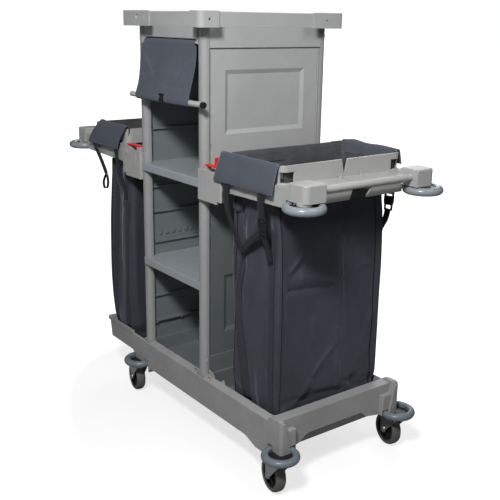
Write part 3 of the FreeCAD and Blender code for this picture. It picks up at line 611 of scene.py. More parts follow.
def bag_body(name, outline, bulge, creases, around, rows):
    bag = bag_shell(name, outline, around, rows, bulge)
    z = np.array([v.co.z for v in bag.data.vertices])
    pinned = (smoothstep(BAG_TOP - 0.020, BAG_TOP - 0.004, z)
              + smoothstep(BAG_FLOOR + 0.02, BAG_FLOOR + 0.004, z))
    relax(bag, np.clip(pinned, 0, 1))
    subdivide(bag, 1)
    displace(bag, creases)
    return bag


# outlines: heights and places of the -X, +X, -Y and +Y walls
RIGHT_OUTLINE = (
    ([0.15, 0.205, 0.33, 0.482, 0.569, 0.654, 0.732, 0.80],
     [0.281, 0.283, 0.289, 0.288, 0.279, 0.270, 0.268, 0.282]),
    ([0.15, 0.26, 0.48, 0.62, 0.72, 0.80], [0.492, 0.491, 0.490, 0.492, 0.491, 0.480]),
    ([0.15, 0.25, 0.45, 0.62, 0.72, 0.80], [-0.199, -0.196, -0.194, -0.194, -0.188, -0.190]),
    ([0.15, 0.27, 0.46, 0.57, 0.67, 0.80], [0.197, 0.200, 0.202, 0.202, 0.202, 0.200]),
)
LEFT_OUTLINE = (
    ([0.15, 0.212, 0.301, 0.458, 0.637, 0.80],
     [-0.428, -0.431, -0.435, -0.435, -0.436, -0.434]),
    ([0.15, 0.30, 0.45, 0.64, 0.80], [-0.268, -0.262, -0.262, -0.272, -0.282]),
    ([0.15, 0.25, 0.45, 0.70, 0.80], [-0.206, -0.207, -0.207, -0.203, -0.196]),
    ([0.15, 0.27, 0.46, 0.67, 0.80], [0.190, 0.190, 0.188, 0.190, 0.194]),
)

# Fold tables, all in mm. End walls: y, z to y, z, width, height; front walls: x, z to x, z,
# width, height. Negative heights are valleys.
RIGHT_END_FOLDS = (
    (6, 690, 20, 627, 7, 3.4), (41, 690, 20, 627, 7, 3.0), (20, 640, 32, 552, 9, 4.0),
    (33, 560, 31, 480, 9, 3.2), (32, 500, 27, 422, 10, 2.6), (27, 430, 22, 355, 10, 2.6),
    (-98, 655, -154, 596, 4, 3.6), (-118, 588, -44, 572, 12, 4.2),
    (-60, 575, 30, 552, 12, 4.4), (72, 575, 160, 585, 8, 2.4), (100, 600, 176, 574, 7, 1.6),
    (15, 368, -38, 326, 6, 3.6), (-30, 334, -74, 284, 6, 3.8), (-66, 294, -124, 206, 7, 3.4),
    (19, 356, 24, 215, 7, 2.8), (-60, 470, -48, 380, 14, 1.2), (90, 480, 84, 300, 16, 1.6),
    (-110, 440, -120, 300, 14, 1.0),
    (-160, 552, -70, 548, 9, -4.6), (-90, 549, 22, 541, 8, -3.8),
    (-90, 628, -146, 580, 6, -2.2), (38, 640, 52, 500, 13, -2.6),
    (-10, 320, -100, 205, 12, -2.0), (36, 350, 40, 220, 10, -2.0),
    (130, 300, 60, 200, 18, -1.8),
)
RIGHT_FRONT_FOLDS = (
    (344, 752, 320, 700, 5, 4.5), (404, 748, 368, 672, 6, 4.5), (300, 640, 322, 500, 12, 3.0),
    (350, 640, 388, 560, 9, 3.2), (420, 640, 430, 300, 12, 2.2), (405, 330, 428, 180, 9, 3.6),
    (370, 330, 392, 190, 10, 2.4), (452, 600, 436, 500, 8, 1.8),
    (335, 690, 322, 560, 12, -4.0), (384, 300, 400, 180, 10, -3.0),
    (436, 330, 448, 180, 9, -3.2),
)
LEFT_FRONT_FOLDS = (
    (-400, 760, -350, 640, 8, 4.0), (-300, 740, -340, 620, 8, 3.6),
    (-345, 630, -350, 420, 9, 3.0), (-390, 520, -380, 260, 10, 3.0),
    (-300, 500, -306, 240, 10, 2.8),
)
LEFT_END_FOLDS = (
    (-120, 700, -40, 600, 8, 3.4), (60, 710, 0, 600, 8, 3.2), (0, 610, 10, 380, 10, 3.0),
    (-90, 480, -110, 250, 10, 2.8), (100, 560, 120, 300, 12, 2.8),
    (-150, 590, 20, 560, 10, 3.0),
)


def right_bulge(points, normals):
    """Broad shape of the right bag's walls; x, y, z in mm, result in metres."""
    x, y, z = (points * 1000).T
    end = np.clip(normals[:, 0], 0, 1)
    front = np.clip(-normals[:, 1], 0, 1)
    rear = np.clip(normals[:, 1], 0, 1)
    # the end wall turns away beyond a long upright fold
    fold_y = 28
    d = -end * 0.006 * smoothstep(fold_y, 185, y)
    d += end * 0.004 * bell(y, fold_y, 45.0) * smoothstep(700, 600, z)
    # hollow under the frame
    d -= end * 0.010 * smoothstep(690, 790, z)
    # front: the middle stands proud, with a swelling and two hollows near the top
    panel = bell(x, 388 - 0.03 * (z - 400), 48.0)
    d += front * (0.005 * panel - 0.004) * smoothstep(150, 260, z)
    d += front * 0.010 * bell(x, 362, 32.0) * bell(z, 716, 34.0)
    d -= front * 0.016 * bell(x, 432, 20.0) * bell(z, 690, 60.0)
    d -= front * 0.012 * bell(x, 318, 16.0) * bell(z, 745, 36.0)
    d += 0.0035 * noise_field(points, seed=1.7, squeeze=0.55) * smoothstep(150, 220, z)
    d += rear * 0.004 * np.sin(x / 38.0 + 0.6 * np.sin(z / 120.0))
    return d


def right_creases(points, normals):
    """Creases of the settled right bag; x, y, z in mm, result in metres."""
    x, y, z = (points * 1000).T
    end = smoothstep(0.55, 0.9, normals[:, 0])
    front = smoothstep(0.55, 0.9, -normals[:, 1])
    d = end * folds(y, z, RIGHT_END_FOLDS) * 0.0019
    # the end wall folds along a long upright line into two facets
    line = 24.0 + 6.0 * np.sin((z - 200) / 160.0)
    tent = np.clip(1.0 - np.abs(y - line) / 105.0, 0, 1)
    d += end * tent * smoothstep(190, 330, z) * smoothstep(760, 640, z) * 0.0085
    # a broad cross fold on the end wall's front half
    cross = np.clip(1.0 - np.abs(z - (574 - (y + 118) * 0.13)) / 42.0, 0, 1)
    d += end * 0.0035 * cross * smoothstep(-150, -100, y) * smoothstep(60, 20, y)
    # under the front flap a tilted facet stands out and ends in a point
    drop = (z - 800.0) / -55.0
    middle = 300.0 + 8.0 * (z - 745.0) / 55.0
    half = 27.0 * np.clip((z - 742.0) / 26.0, 0, 1)
    facet = np.clip(drop, 0, 1.05) * smoothstep(half + 5.0, half - 1.0, np.abs(x - middle))
    facet = facet * (z > 740) * (z < 801)
    d += front * (folds(x, z, RIGHT_FRONT_FOLDS) + facet * 7.0) * 0.0017
    # upright groove in the end wall, and the raised front corner beside it
    above_foot = smoothstep(160, 200, z)
    corner = smoothstep(470, 480, x) * smoothstep(-165, -175, y)
    d -= 0.0016 * bell(y, -176, 3.0) * end * above_foot
    d += 0.0012 * corner * above_foot
    return d


def left_bulge(points, normals):
    """Broad shape of the left bag's walls; x, y, z in mm, result in metres."""
    x, y, z = (points * 1000).T
    front = np.clip(-normals[:, 1], 0, 1)
    end = np.clip(-normals[:, 0], 0, 1)
    ripple = np.sin((x + 340) / 24.0 + 0.5 * np.sin(z / 90.0))
    d = front * 0.006 * ripple * smoothstep(150, 260, z)
    d += end * 0.005 * np.sin(y / 60.0 + 0.8 * np.sin(z / 130.0))
    d += 0.004 * noise_field(points, seed=5.3, squeeze=0.5) * smoothstep(150, 220, z)
    return d


def left_creases(points, normals):
    x, y, z = (points * 1000).T
    front = smoothstep(0.55, 0.9, -normals[:, 1])
    end = smoothstep(0.55, 0.9, -normals[:, 0])
    return (front * folds(x, z, LEFT_FRONT_FOLDS) + end * folds(y, z, LEFT_END_FOLDS)) * 0.001


right_bag = bag_body("right_bag_body", RIGHT_OUTLINE, right_bulge, right_creases,
                     around=124, rows=70)
left_bag = bag_body("left_bag_body", LEFT_OUTLINE, left_bulge, left_creases,
                    around=116, rows=64)


# ----------------------------------------------------------------------
# mouth linings and flaps of both bags: they hang on the frames
# ----------------------------------------------------------------------
LINING_FOOT = 0.792
LINING_TOP = 0.9035
COLLAR = (0.2905, 0.5115, -0.2052, 0.2052)     # inside of the right collar: x0, x1, y0, y1
COLLAR_CORNER = 0.015


def lining(name, sign, top_at):
    """Lining inside a collar; sign is the side in x, top_at(x, y) the height of its edge."""
    around, rows = 200, 26
    verts = []
    ring = ring_points(*COLLAR, COLLAR_CORNER, around)
    for j in range(rows):
        t = j / (rows - 1)
        for x, y, nx, ny in ring:
            z = LINING_FOOT + (top_at(x, y) - LINING_FOOT) * t
            # folds go only inwards, as the collar's wall is behind; they fade near the top
            broad = 0.5 + 0.5 * noise.noise(Vector((x * 9 + sign, y * 9, z * 5)))
            fine = 0.5 + 0.5 * noise.noise(Vector((x * 30, y * 30 + sign, z * 9)))
            fade = 1 - 0.75 * smoothstep(0.86, 0.90, z)
            inset = 0.0012 + (0.007 * broad * broad + 0.0022 * fine) * fade
            verts.append((sign * (x - nx * inset), y - ny * inset, z))
    faces = grid_faces(around, rows, True)
    if sign < 0:
        faces = [f[::-1] for f in faces]
    return make(name, verts, faces, LINING)


def flap(name, section, place, material, wave, seed, flip=False, tilt=0.0):
    """A sheet folded over a rim.

    section holds (across, up); place maps (u, across, up) to a point, u from 0 to 1 along
    the rim; tilt raises the hanging edge towards u = 1."""
    rows, columns = 34, 60
    section = np.array(section, float)
    along, even = even_stations(np.hypot(*np.diff(section, axis=0).T), rows)
    across = np.interp(even, along, section[:, 0])
    up = np.interp(even, along, section[:, 1])
    soften(across, 2)
    soften(up, 2)
    verts = []
    for j in range(rows):
        f = j / (rows - 1)
        for i in range(columns):
            u = i / (columns - 1)
            sway = wave * smoothstep(0.35, 1.0, f)
            sway *= noise.noise(Vector((u * 4 + seed, f * 3, seed)))
            sway += 0.0009 * noise.noise(Vector((u * 14 + seed, f * 9, seed + 4)))
            height = up[j] + tilt * u * smoothstep(0.3, 1.0, f)
            verts.append(place(u, across[j] - abs(sway), height))
    faces = grid_faces(columns, rows, False)
    if flip:
        faces = [f[::-1] for f in faces]
    made = make(name, verts, faces, material)
    thicken(made, 0.0018)
    return made


# sections: distance outwards, height
RIGHT_FRONT_SECTION = (
    (0.2035, 0.868), (0.2038, 0.900), (0.2050, 0.9048), (0.2085, 0.9062), (0.2130, 0.9052),
    (0.2165, 0.9005), (0.2240, 0.880), (0.2320, 0.857), (0.2365, 0.842), (0.2385, 0.827),
)
LEFT_FRONT_SECTION = (
    (0.2035, 0.868), (0.2038, 0.903), (0.2050, 0.9100), (0.2090, 0.9130), (0.2145, 0.9120),
    (0.2210, 0.9050), (0.2285, 0.890), (0.2345, 0.872), (0.2385, 0.854), (0.2398, 0.836),
)
REAR_SECTION = (
    (0.2030, 0.872), (0.2034, 0.902), (0.2050, 0.9075), (0.2090, 0.9095), (0.2135, 0.908),
    (0.2170, 0.902), (0.2215, 0.885), (0.2260, 0.866),
)
SIDE_SECTION = (
    (-0.0035, 0.868), (-0.0030, 0.899), (-0.0015, 0.9036), (0.002, 0.9052), (0.0062, 0.9040),
    (0.0090, 0.898), (0.0105, 0.884), (0.0115, 0.868),
)
REAR_FLAP_WIDTH = 0.222


def right_front(u, across, up):
    """Front rim of the right bag; the flap widens as it hangs."""
    k = smoothstep(0.905, 0.827, up)
    x0 = 0.2585 - 0.0035 * k
    x1 = 0.5085 + 0.0045 * k
    return (x0 + (x1 - x0) * u, -across, up)


def right_rear(u, across, up):
    """Rear rim of the right bag, with two rises along its crest."""
    rise = 0.006 * bell(u, 0.22, 0.16) + 0.003 * bell(u, 0.7, 0.2)
    return (0.286 + REAR_FLAP_WIDTH * u, across, up + rise * smoothstep(0.87, 0.905, up))


def right_side(u, across, up):
    """Rim of the right bag towards the cabinet."""
    return (0.2890 - across, -0.196 + 0.392 * u, up)


def left_front(u, across, up):
    """Front rim of the left bag; the flap leans to -X as it hangs."""
    k = float(smoothstep(0.915, 0.832, up))
    x0 = -0.462 - 0.052 * k ** 0.85
    x1 = -0.279 - 0.022 * k
    return (x0 + (x1 - x0) * u, -across, up + 0.004 * bell(u, 0.04, 0.10) * (1 - k))


def left_rear(u, across, up):
    return (-0.508 + REAR_FLAP_WIDTH * u, across, up)


def right_lining_top(x, y):
    """Higher along the rear, lower along the outer end."""
    return LINING_TOP + (0.0045 if y > 0.15 else 0.0) - (0.006 if x > 0.505 else 0.0)


right_hung = [
    flap("right_front_flap", RIGHT_FRONT_SECTION, right_front, FLAP_CLOTH,
         wave=0.0022, seed=2.0, tilt=0.001),
    lining("right_bag_lining", 1, right_lining_top),
    flap("right_rear_flap", REAR_SECTION, right_rear, REAR_CLOTH_LIT,
         wave=0.003, seed=7.0, flip=True),
    flap("right_side_flap", SIDE_SECTION, right_side, LINING,
         wave=0.0015, seed=11.0, flip=True),
]
left_hung = [
    lining("left_bag_lining", -1, lambda x, y: LINING_TOP),
    flap("left_front_flap", LEFT_FRONT_SECTION, left_front, FLAP_CLOTH, wave=0.003, seed=15.0),
    flap("left_rear_flap", REAR_SECTION, left_rear, FLAP_CLOTH,
         wave=0.003, seed=19.0, flip=True),
]


# ----------------------------------------------------------------------
# straps, buckles and seams of the bags
# ----------------------------------------------------------------------
# sides that sewn pieces are cast onto: axis of the rays, place of the line on it, their sense
FRONT = (1, -0.25, 1)
RIGHT_END = (0, 0.55, -1)
LEFT_END = (0, -0.55, 1)
RAY_START = 0.12            # rays begin this far before the line
STRAP_THICKNESS = 0.0016


def surface(piece):
    """Ray-cast tree over a finished mesh."""
    bm = bmesh.new()
    bm.from_mesh(piece.data)
    tree = BVHTree.FromBMesh(bm)
    bm.free()
    return tree


def on_side(side, points):
    """Full points from (horizontal, z) pairs on a side, and the way its rays go."""
    axis, place, sense = side
    toward = Vector((0, 0, 0))
    toward[axis] = sense
    return [np.insert(point, axis, place) for point in points], toward


def hit_point(tree, point, toward):
    return tree.ray_cast(point - toward * RAY_START, toward)[0]


def ribbon(name, verts, rows, material, facing, thickness):
    """Five points wide, turned to face one way and given a thickness."""
    made = make(name, verts, grid_faces(5, rows, False), material)
    if summed_normal(made.data.polygons).dot(Vector(facing)) < 0:
        made.data.flip_normals()
    thicken(made, thickness)
    return made


def band(name, tree, side, points, width, lift, material, thickness, widen=0.0, rows=60):
    """Webbing laid on the fabric; widen is added to its width by the last point."""
    points, toward = on_side(side, points)
    line = resample(points, rows)
    grid = []
    for i in range(rows):
        tangent = Vector(line[min(i + 1, rows - 1)] - line[max(i - 1, 0)]).normalized()
        across = tangent.cross(toward).normalized()
        breadth = width + widen * (i / (rows - 1))
        for k in (-1, -0.5, 0, 0.5, 1):
            point = Vector(line[i]) + across * (breadth / 2 * k)
            hit = hit_point(tree, point, toward)
            grid.append(list(hit - toward * lift if hit is not None else point))
    grid = np.array(grid).reshape(rows, 5, 3)
    # webbing bridges small wrinkles
    soften(grid, 6)
    return ribbon(name, grid.reshape(-1, 3), rows, material, -toward, thickness)


def strap(name, centre, width, material, widen=0.0, across=(1, 0, 0), facing=(0, -1, 0)):
    """Free webbing round a centre line; widen is added to its width by the last point."""
    rows = 36
    across = Vector(across)
    verts = []
    for i, point in enumerate(resample(centre, rows)):
        breadth = width + widen * (i / (rows - 1))
        near = Vector(point) - across * breadth / 2
        far = Vector(point) + across * breadth / 2
        verts += [near + (far - near) * (k / 4) for k in range(5)]
    return ribbon(name, verts, rows, material, facing, STRAP_THICKNESS)


def seam(name, tree, side, points, radius, material):
    """Round piping that follows the fabric."""
    rows, around, lift = 90, 8, 0.0004
    points, toward = on_side(side, points)
    path = []
    for point in resample(points, rows, curve=np.interp):
        point = Vector(point)
        hit = hit_point(tree, point, toward)
        path.append(list((hit if hit is not None else point) - toward * lift))
    path = np.array(path)
    soften(path, 3)
    path = [Vector(p) for p in path]
    angles = [2 * math.pi * k / around for k in range(around)]
    profile = [(radius * math.cos(a), radius * math.sin(a)) for a in angles]
    up = Vector((0.3, 0.4, 0.1))        # any direction that no seam runs along
    verts = []
    for i, point in enumerate(path):
        tangent = (path[min(i + 1, rows - 1)] - path[max(i - 1, 0)]).normalized()
        across = tangent.cross(up).normalized()
        normal = across.cross(tangent).normalized()
        verts += [point + across * a + normal * b for a, b in profile]
    faces = grid_faces(around, rows, True)
    faces.append(tuple(range(around - 1, -1, -1)))
    faces.append(tuple((rows - 1) * around + k for k in range(around)))
    return make(name, verts, faces, material)


def rounded_block(name, lo, hi, radius):
    """Mesh of a box with rounded edges."""
    bm = bmesh.new()
    bmesh.ops.create_cube(bm, size=1.0)
    for vert in bm.verts:
        for k in range(3):
            vert.co[k] = lo[k] if vert.co[k] < 0 else hi[k]
    bmesh.ops.bevel(bm, geom=list(bm.edges), offset=radius, segments=3, profile=0.6,
                    affect="EDGES")
    for face in bm.faces:
        face.smooth = True
    mesh = bpy.data.meshes.new(name)
    bm.to_mesh(mesh)
    bm.free()
    return mesh


def buckle(name, centre, across, along, width, height):
    """Side-release buckle of rounded blocks; along is the strap's direction."""
    across, along = Vector(across).normalized(), Vector(along).normalized()
    base = Matrix((across, across.cross(along).normalized(), along)).transposed().to_4x4()
    base.translation = Vector(centre)
    half = width / 2
    narrow = half * 0.86
    # rows: inner and outer x (a block spans the middle where inner is None, else there is one
    # on each side), bottom and top as shares of the height, half depth, edge radius
    blocks = (
        (None, half, -0.08, 0.24, 0.0045, 0.0016),
        (None, half * 0.94, 0.34, 0.44, 0.0028, 0.0012),
        (half - 0.0042, half, 0.10, 0.50, 0.0032, 0.0012),
        (None, half, 0.46, 0.52, 0.0030, 0.0012),
        (None, narrow, -0.24, -0.05, 0.0038, 0.0014),
        (half * 0.66, half * 0.95, -0.20, 0.02, 0.0042, 0.0014),
        (None, narrow, -0.52, -0.44, 0.0030, 0.0012),
        (narrow - 0.0038, narrow, -0.50, -0.20, 0.0030, 0.0011),
    )
    whole = bmesh.new()
    for inner, outer, bottom, top, depth, radius in blocks:
        spans = [(-outer, outer)] if inner is None else [(-outer, -inner), (inner, outer)]
        for x0, x1 in spans:
            block = rounded_block(name + "_block", (x0, -depth, height * bottom),
                                  (x1, depth, height * top), radius)
            block.transform(base)
            whole.from_mesh(block)
            bpy.data.meshes.remove(block)
    mesh = bpy.data.meshes.new(name)
    whole.to_mesh(mesh)
    whole.free()
    made = put(name, mesh)
    mesh.materials.append(BLACK)
    return made


right_surface = surface(right_bag)
left_surface = surface(left_bag)
REAR = (0, 1, 0)            # facing of the rear straps

# pieces that crumple with the right bag
right_soft = [
    # two upright bands sewn on the front
    band("right_front_band_inner", right_surface, FRONT,
         [(0.338, 0.640), (0.324, 0.575), (0.313, 0.520), (0.318, 0.450), (0.336, 0.348),
          (0.356, 0.240), (0.362, 0.205)],
         width=0.030, widen=0.010, lift=0.0016, thickness=0.0016, material=WEB_BAND),
    band("right_front_band_outer", right_surface, FRONT,
         [(0.454, 0.722), (0.458, 0.600), (0.461, 0.500), (0.463, 0.380), (0.465, 0.235),
          (0.465, 0.195)],
         width=0.024, lift=0.0020, thickness=0.0018, material=WEB_BAND),
    # strap from the front flap to the sling's low point, and the sling up to the buckle
    strap("right_strap_inner",
          [(0.310, -0.2360, 0.836), (0.3095, -0.2345, 0.800), (0.306, -0.2290, 0.765),
           (0.308, -0.2225, 0.735), (0.322, -0.2165, 0.700), (0.339, -0.2130, 0.672),
           (0.350, -0.2120, 0.652)],
          width=0.0265, widen=-0.006, material=WEB),
    strap("right_strap_sling",
          [(0.350, -0.2135, 0.650), (0.368, -0.2130, 0.662), (0.395, -0.2140, 0.684),
           (0.424, -0.2160, 0.706), (0.446, -0.2175, 0.722)],
          width=0.021, material=WEB, across=(0.55, 0, -0.83)),
    # outer strap, above and below its buckle
    strap("right_strap_outer",
          [(0.4625, -0.2365, 0.838), (0.4620, -0.2350, 0.805), (0.4600, -0.2300, 0.775),
           (0.4585, -0.2255, 0.757)],
          width=0.0255, material=WEB),
    buckle("right_front_buckle", centre=(0.4580, -0.2225, 0.736), across=(1, 0.0, 0.10),
           along=(-0.02, -0.08, 1), width=0.034, height=0.046),
    strap("right_strap_outer_low",
          [(0.4570, -0.2215, 0.722), (0.4565, -0.2140, 0.700), (0.4570, -0.2035, 0.672),
           (0.4580, -0.1985, 0.640)],
          width=0.0240, material=WEB),
    # rear straps, the outer one with a buckle
    strap("right_rear_strap_inner",
          [(0.318, 0.2340, 0.862), (0.318, 0.2350, 0.800), (0.320, 0.2260, 0.740),
           (0.326, 0.2060, 0.690), (0.330, 0.1960, 0.640)],
          width=0.0250, material=WEB_BLACK, facing=REAR),
    strap("right_rear_strap_outer",
          [(0.462, 0.2340, 0.862), (0.462, 0.2350, 0.810), (0.461, 0.2355, 0.776)],
          width=0.0240, material=WEB_BLACK, facing=REAR),
    buckle("right_rear_buckle", centre=(0.4605, 0.2350, 0.752), across=(1, 0, 0.06),
           along=(0, 0.05, 1), width=0.034, height=0.056),
    strap("right_rear_strap_low",
          [(0.4600, 0.2340, 0.728), (0.4600, 0.2260, 0.700), (0.4600, 0.2060, 0.672),
           (0.4610, 0.1960, 0.640)],
          width=0.0220, material=WEB_BLACK, facing=REAR),
    # zip on the end wall beside the front corner: a dark strip between two raised lips
    seam("right_zip_lip_front", right_surface, RIGHT_END,
         [(-0.1800, 0.785), (-0.1796, 0.50), (-0.1806, 0.165)],
         radius=0.0013, material=BAG_CLOTH),
    seam("right_zip_lip_rear", right_surface, RIGHT_END,
         [(-0.1732, 0.785), (-0.1728, 0.50), (-0.1738, 0.165)],
         radius=0.0013, material=BAG_CLOTH),
    band("right_zip", right_surface, RIGHT_END,
         [(-0.1766, 0.785), (-0.1762, 0.50), (-0.1772, 0.165)],
         width=0.0050, lift=0.0004, thickness=0.0008, material=WEB_BLACK, rows=90),
    # upright seams: the end wall near its rear corner, the front near its inner corner
    seam("right_rear_seam", right_surface, RIGHT_END, [(0.172, 0.785), (0.170, 0.165)],
         radius=0.0015, material=PIPING),
    seam("right_front_seam", right_surface, FRONT, [(0.297, 0.785), (0.299, 0.165)],
         radius=0.0015, material=PIPING),
]

# pieces that crumple with the left bag
left_soft = [
    band("left_front_band_outer", left_surface, FRONT,
         [(-0.395, 0.700), (-0.397, 0.520), (-0.398, 0.215)],
         width=0.024, lift=0.0018, thickness=0.0018, material=WEB_BAND),
    band("left_front_band_inner", left_surface, FRONT,
         [(-0.300, 0.660), (-0.302, 0.520), (-0.304, 0.215)],
         width=0.024, lift=0.0018, thickness=0.0018, material=WEB_BAND),
    strap("left_strap_outer",
          [(-0.478, -0.2372, 0.842), (-0.462, -0.2362, 0.818), (-0.440, -0.2345, 0.792),
           (-0.420, -0.2330, 0.766), (-0.402, -0.2310, 0.738)],
          width=0.0215, material=WEB, across=(0.83, 0, 0.55)),
    # narrow loop at the lower end of the outer strap
    strap("left_strap_tail",
          [(-0.4000, -0.2320, 0.742), (-0.4125, -0.2335, 0.724), (-0.4205, -0.2340, 0.705),
           (-0.4135, -0.2330, 0.688), (-0.4010, -0.2315, 0.691), (-0.3945, -0.2305, 0.707),
           (-0.3960, -0.2305, 0.724), (-0.3995, -0.2310, 0.737)],
          width=0.0085, material=WEB_BLACK, across=(0.1, 0.99, 0), facing=(1, 0, 0)),
    strap("left_strap_inner",
          [(-0.318, -0.2372, 0.842), (-0.317, -0.2350, 0.800), (-0.315, -0.2270, 0.760),
           (-0.312, -0.2150, 0.715), (-0.310, -0.2080, 0.665)],
          width=0.0215, material=WEB),
    strap("left_rear_strap",
          [(-0.440, 0.2340, 0.862), (-0.440, 0.2350, 0.800), (-0.436, 0.2260, 0.740),
           (-0.430, 0.2060, 0.690), (-0.428, 0.1960, 0.640)],
          width=0.0250, material=WEB_BLACK, facing=REAR),
    seam("left_front_seam", left_surface, FRONT, [(-0.425, 0.785), (-0.412, 0.170)],
         radius=0.0015, material=PIPING),
    seam("left_end_seam", left_surface, LEFT_END, [(-0.178, 0.785), (-0.182, 0.170)],
         radius=0.0015, material=PIPING),
]


# ----------------------------------------------------------------------
# roll-down cover: one sheet from the rail to the pocket round the rod
# ----------------------------------------------------------------------
# section from the rail down and round the rod: y, z
COVER_SECTION = np.array((
    (-0.2155, 1.1923), (-0.2195, 1.1908), (-0.2224, 1.1860), (-0.2238, 1.1700),
    (-0.2252, 1.1500), (-0.2272, 1.1300), (-0.2300, 1.1100), (-0.2335, 1.0920),
    (-0.2370, 1.0750), (-0.2402, 1.0620), (-0.2430, 1.0500), (-0.2460, 1.0400),
    (-0.2492, 1.0300), (-0.2500, 1.0240), (-0.2485, 1.0180), (-0.2440, 1.0140),
    (-0.2390, 1.0130), (-0.2335, 1.0150), (-0.2295, 1.0200), (-0.2290, 1.0260),
    (-0.2315, 1.0310), (-0.2370, 1.0345),
))
POCKET_POINT = 12           # section point where the sheet starts to turn round the rod
NOTCH_POINT = 10            # the clip's notch lies beyond this one
COVER_HALF = 0.1400
NOTCH_X = (-0.018, 0.012)
NOTCH_TOP = 1.0385
# folds in mm: x, z to x, z, width, height. Two long ones run from the top corners inwards
COVER_RIDGES = (
    (-146, 1150, -60, 1078, 9, 2.4), (142, 1150, 62, 1076, 9, 2.4),
    (-4, 1075, -10, 1045, 8, 1.8), (-96, 1100, -60, 1072, 8, 1.2),
    (70, 1108, 44, 1076, 8, 1.2),
)
COVER_VALLEYS = (
    (-128, 1160, -56, 1074, 6, -3.0), (128, 1162, 44, 1072, 6, -3.0),
    (-60, 1070, 140, 1060, 6, -1.6),
)


def cover_relief(x, z, u, share):
    """Outward displacement of the sheet; share fades it out at the rail and the pocket."""
    x_mm, z_mm = x * 1000, z * 1000
    d = folds(x_mm, z_mm, COVER_RIDGES, taper=0.2)
    d += folds(x_mm, z_mm, COVER_VALLEYS, taper=0.3)
    d += 1.6 * noise.noise(Vector((x * 11, z * 14, 2.0)))
    d += 0.6 * noise.noise(Vector((x * 40, z * 36, 5.0)))
    d *= 0.001 * share
    # stitched line over the pocket, and thicker free edges
    d -= 0.0007 * bell(z_mm, 1060, 2.2) * share
    d += 0.0006 * bell(min(u, 1 - u), 0, 0.02) * share
    return d


def wander(x, y, z):
    """The free edges wander a little."""
    shift = 0.0022 * math.sin((z - 1.03) * 42.0)
    shift *= float(smoothstep(1.176, 1.150, z) * smoothstep(1.03, 1.06, z))
    return (x + shift * min(1.0, abs(x) / COVER_HALF) * (1 if x < 0 else -0.6), y, z)


def cover_sheet():
    rows, columns = 110, 130
    lengths = np.hypot(*np.diff(COVER_SECTION, axis=0).T)
    along, even = even_stations(lengths, rows)
    ys, zs = (interp(even, along, COVER_SECTION[:, k]) for k in (0, 1))
    slope_y, slope_z = np.gradient(ys, even), np.gradient(zs, even)
    pocket = along[POCKET_POINT]
    verts = []
    for s, y, z, dy, dz in zip(even, ys, zs, slope_y, slope_z):
        ny, nz = dz, -dy
        if ny > 0 and s < pocket:
            ny, nz = -ny, -nz
        length = math.hypot(ny, nz)
        # below the rail the sheet is wider, by different amounts at its two edges
        below_rail = float(smoothstep(1.179, 1.176, z))
        low = float(smoothstep(1.12, 1.04, z))
        x0 = -COVER_HALF - (0.0150 - 0.0030 * low) * below_rail
        x1 = COVER_HALF + (0.0095 - 0.0060 * low) * below_rail
        share = float(smoothstep(0.0, 0.02, s) * smoothstep(pocket, pocket - 0.03, s))
        for i in range(columns):
            u = i / (columns - 1)
            x = x0 + (x1 - x0) * u
            d = cover_relief(x, z, u, share)
            verts.append(wander(x, y + d * ny / length, z + d * nz / length))
    faces = []
    for face in grid_faces(columns, rows, False):
        centre = np.mean([verts[k] for k in face], axis=0)
        beyond = even[face[0] // columns] > along[NOTCH_POINT] + 0.002
        # notch for the clip
        if NOTCH_X[0] < centre[0] < NOTCH_X[1] and beyond and centre[2] < NOTCH_TOP:
            continue
        faces.append(face)
    sheet = make("cover_cloth", verts, faces, COVER_CLOTH)
    bm = bmesh.new()
    bm.from_mesh(sheet.data)
    loose = [v for v in bm.verts if not v.link_faces]
    bmesh.ops.delete(bm, geom=loose, context="VERTS")
    bm.to_mesh(sheet.data)
    bm.free()
    if summed_normal(p for p in sheet.data.polygons if p.center[2] > 1.06).y > 0:
        sheet.data.flip_normals()
    thicken(sheet, 0.0014, offset=-1.0)
    return sheet


cover = cover_sheet()


# ----------------------------------------------------------------------
# bodies
# ----------------------------------------------------------------------
for body, pieces in (("right_bag_frame", right_hung), ("left_bag_frame", left_hung),
                     ("cover", [cover])):
    for piece in pieces:
        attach(piece, body)
for pieces, joint in (([right_bag] + right_soft, "right_frame_fold"),
                      ([left_bag] + left_soft, "left_frame_fold")):
    for piece in pieces:
        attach(piece, "cart")
        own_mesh(piece)
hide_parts("right_bag")
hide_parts("left_bag")
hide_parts("cover_fabric")


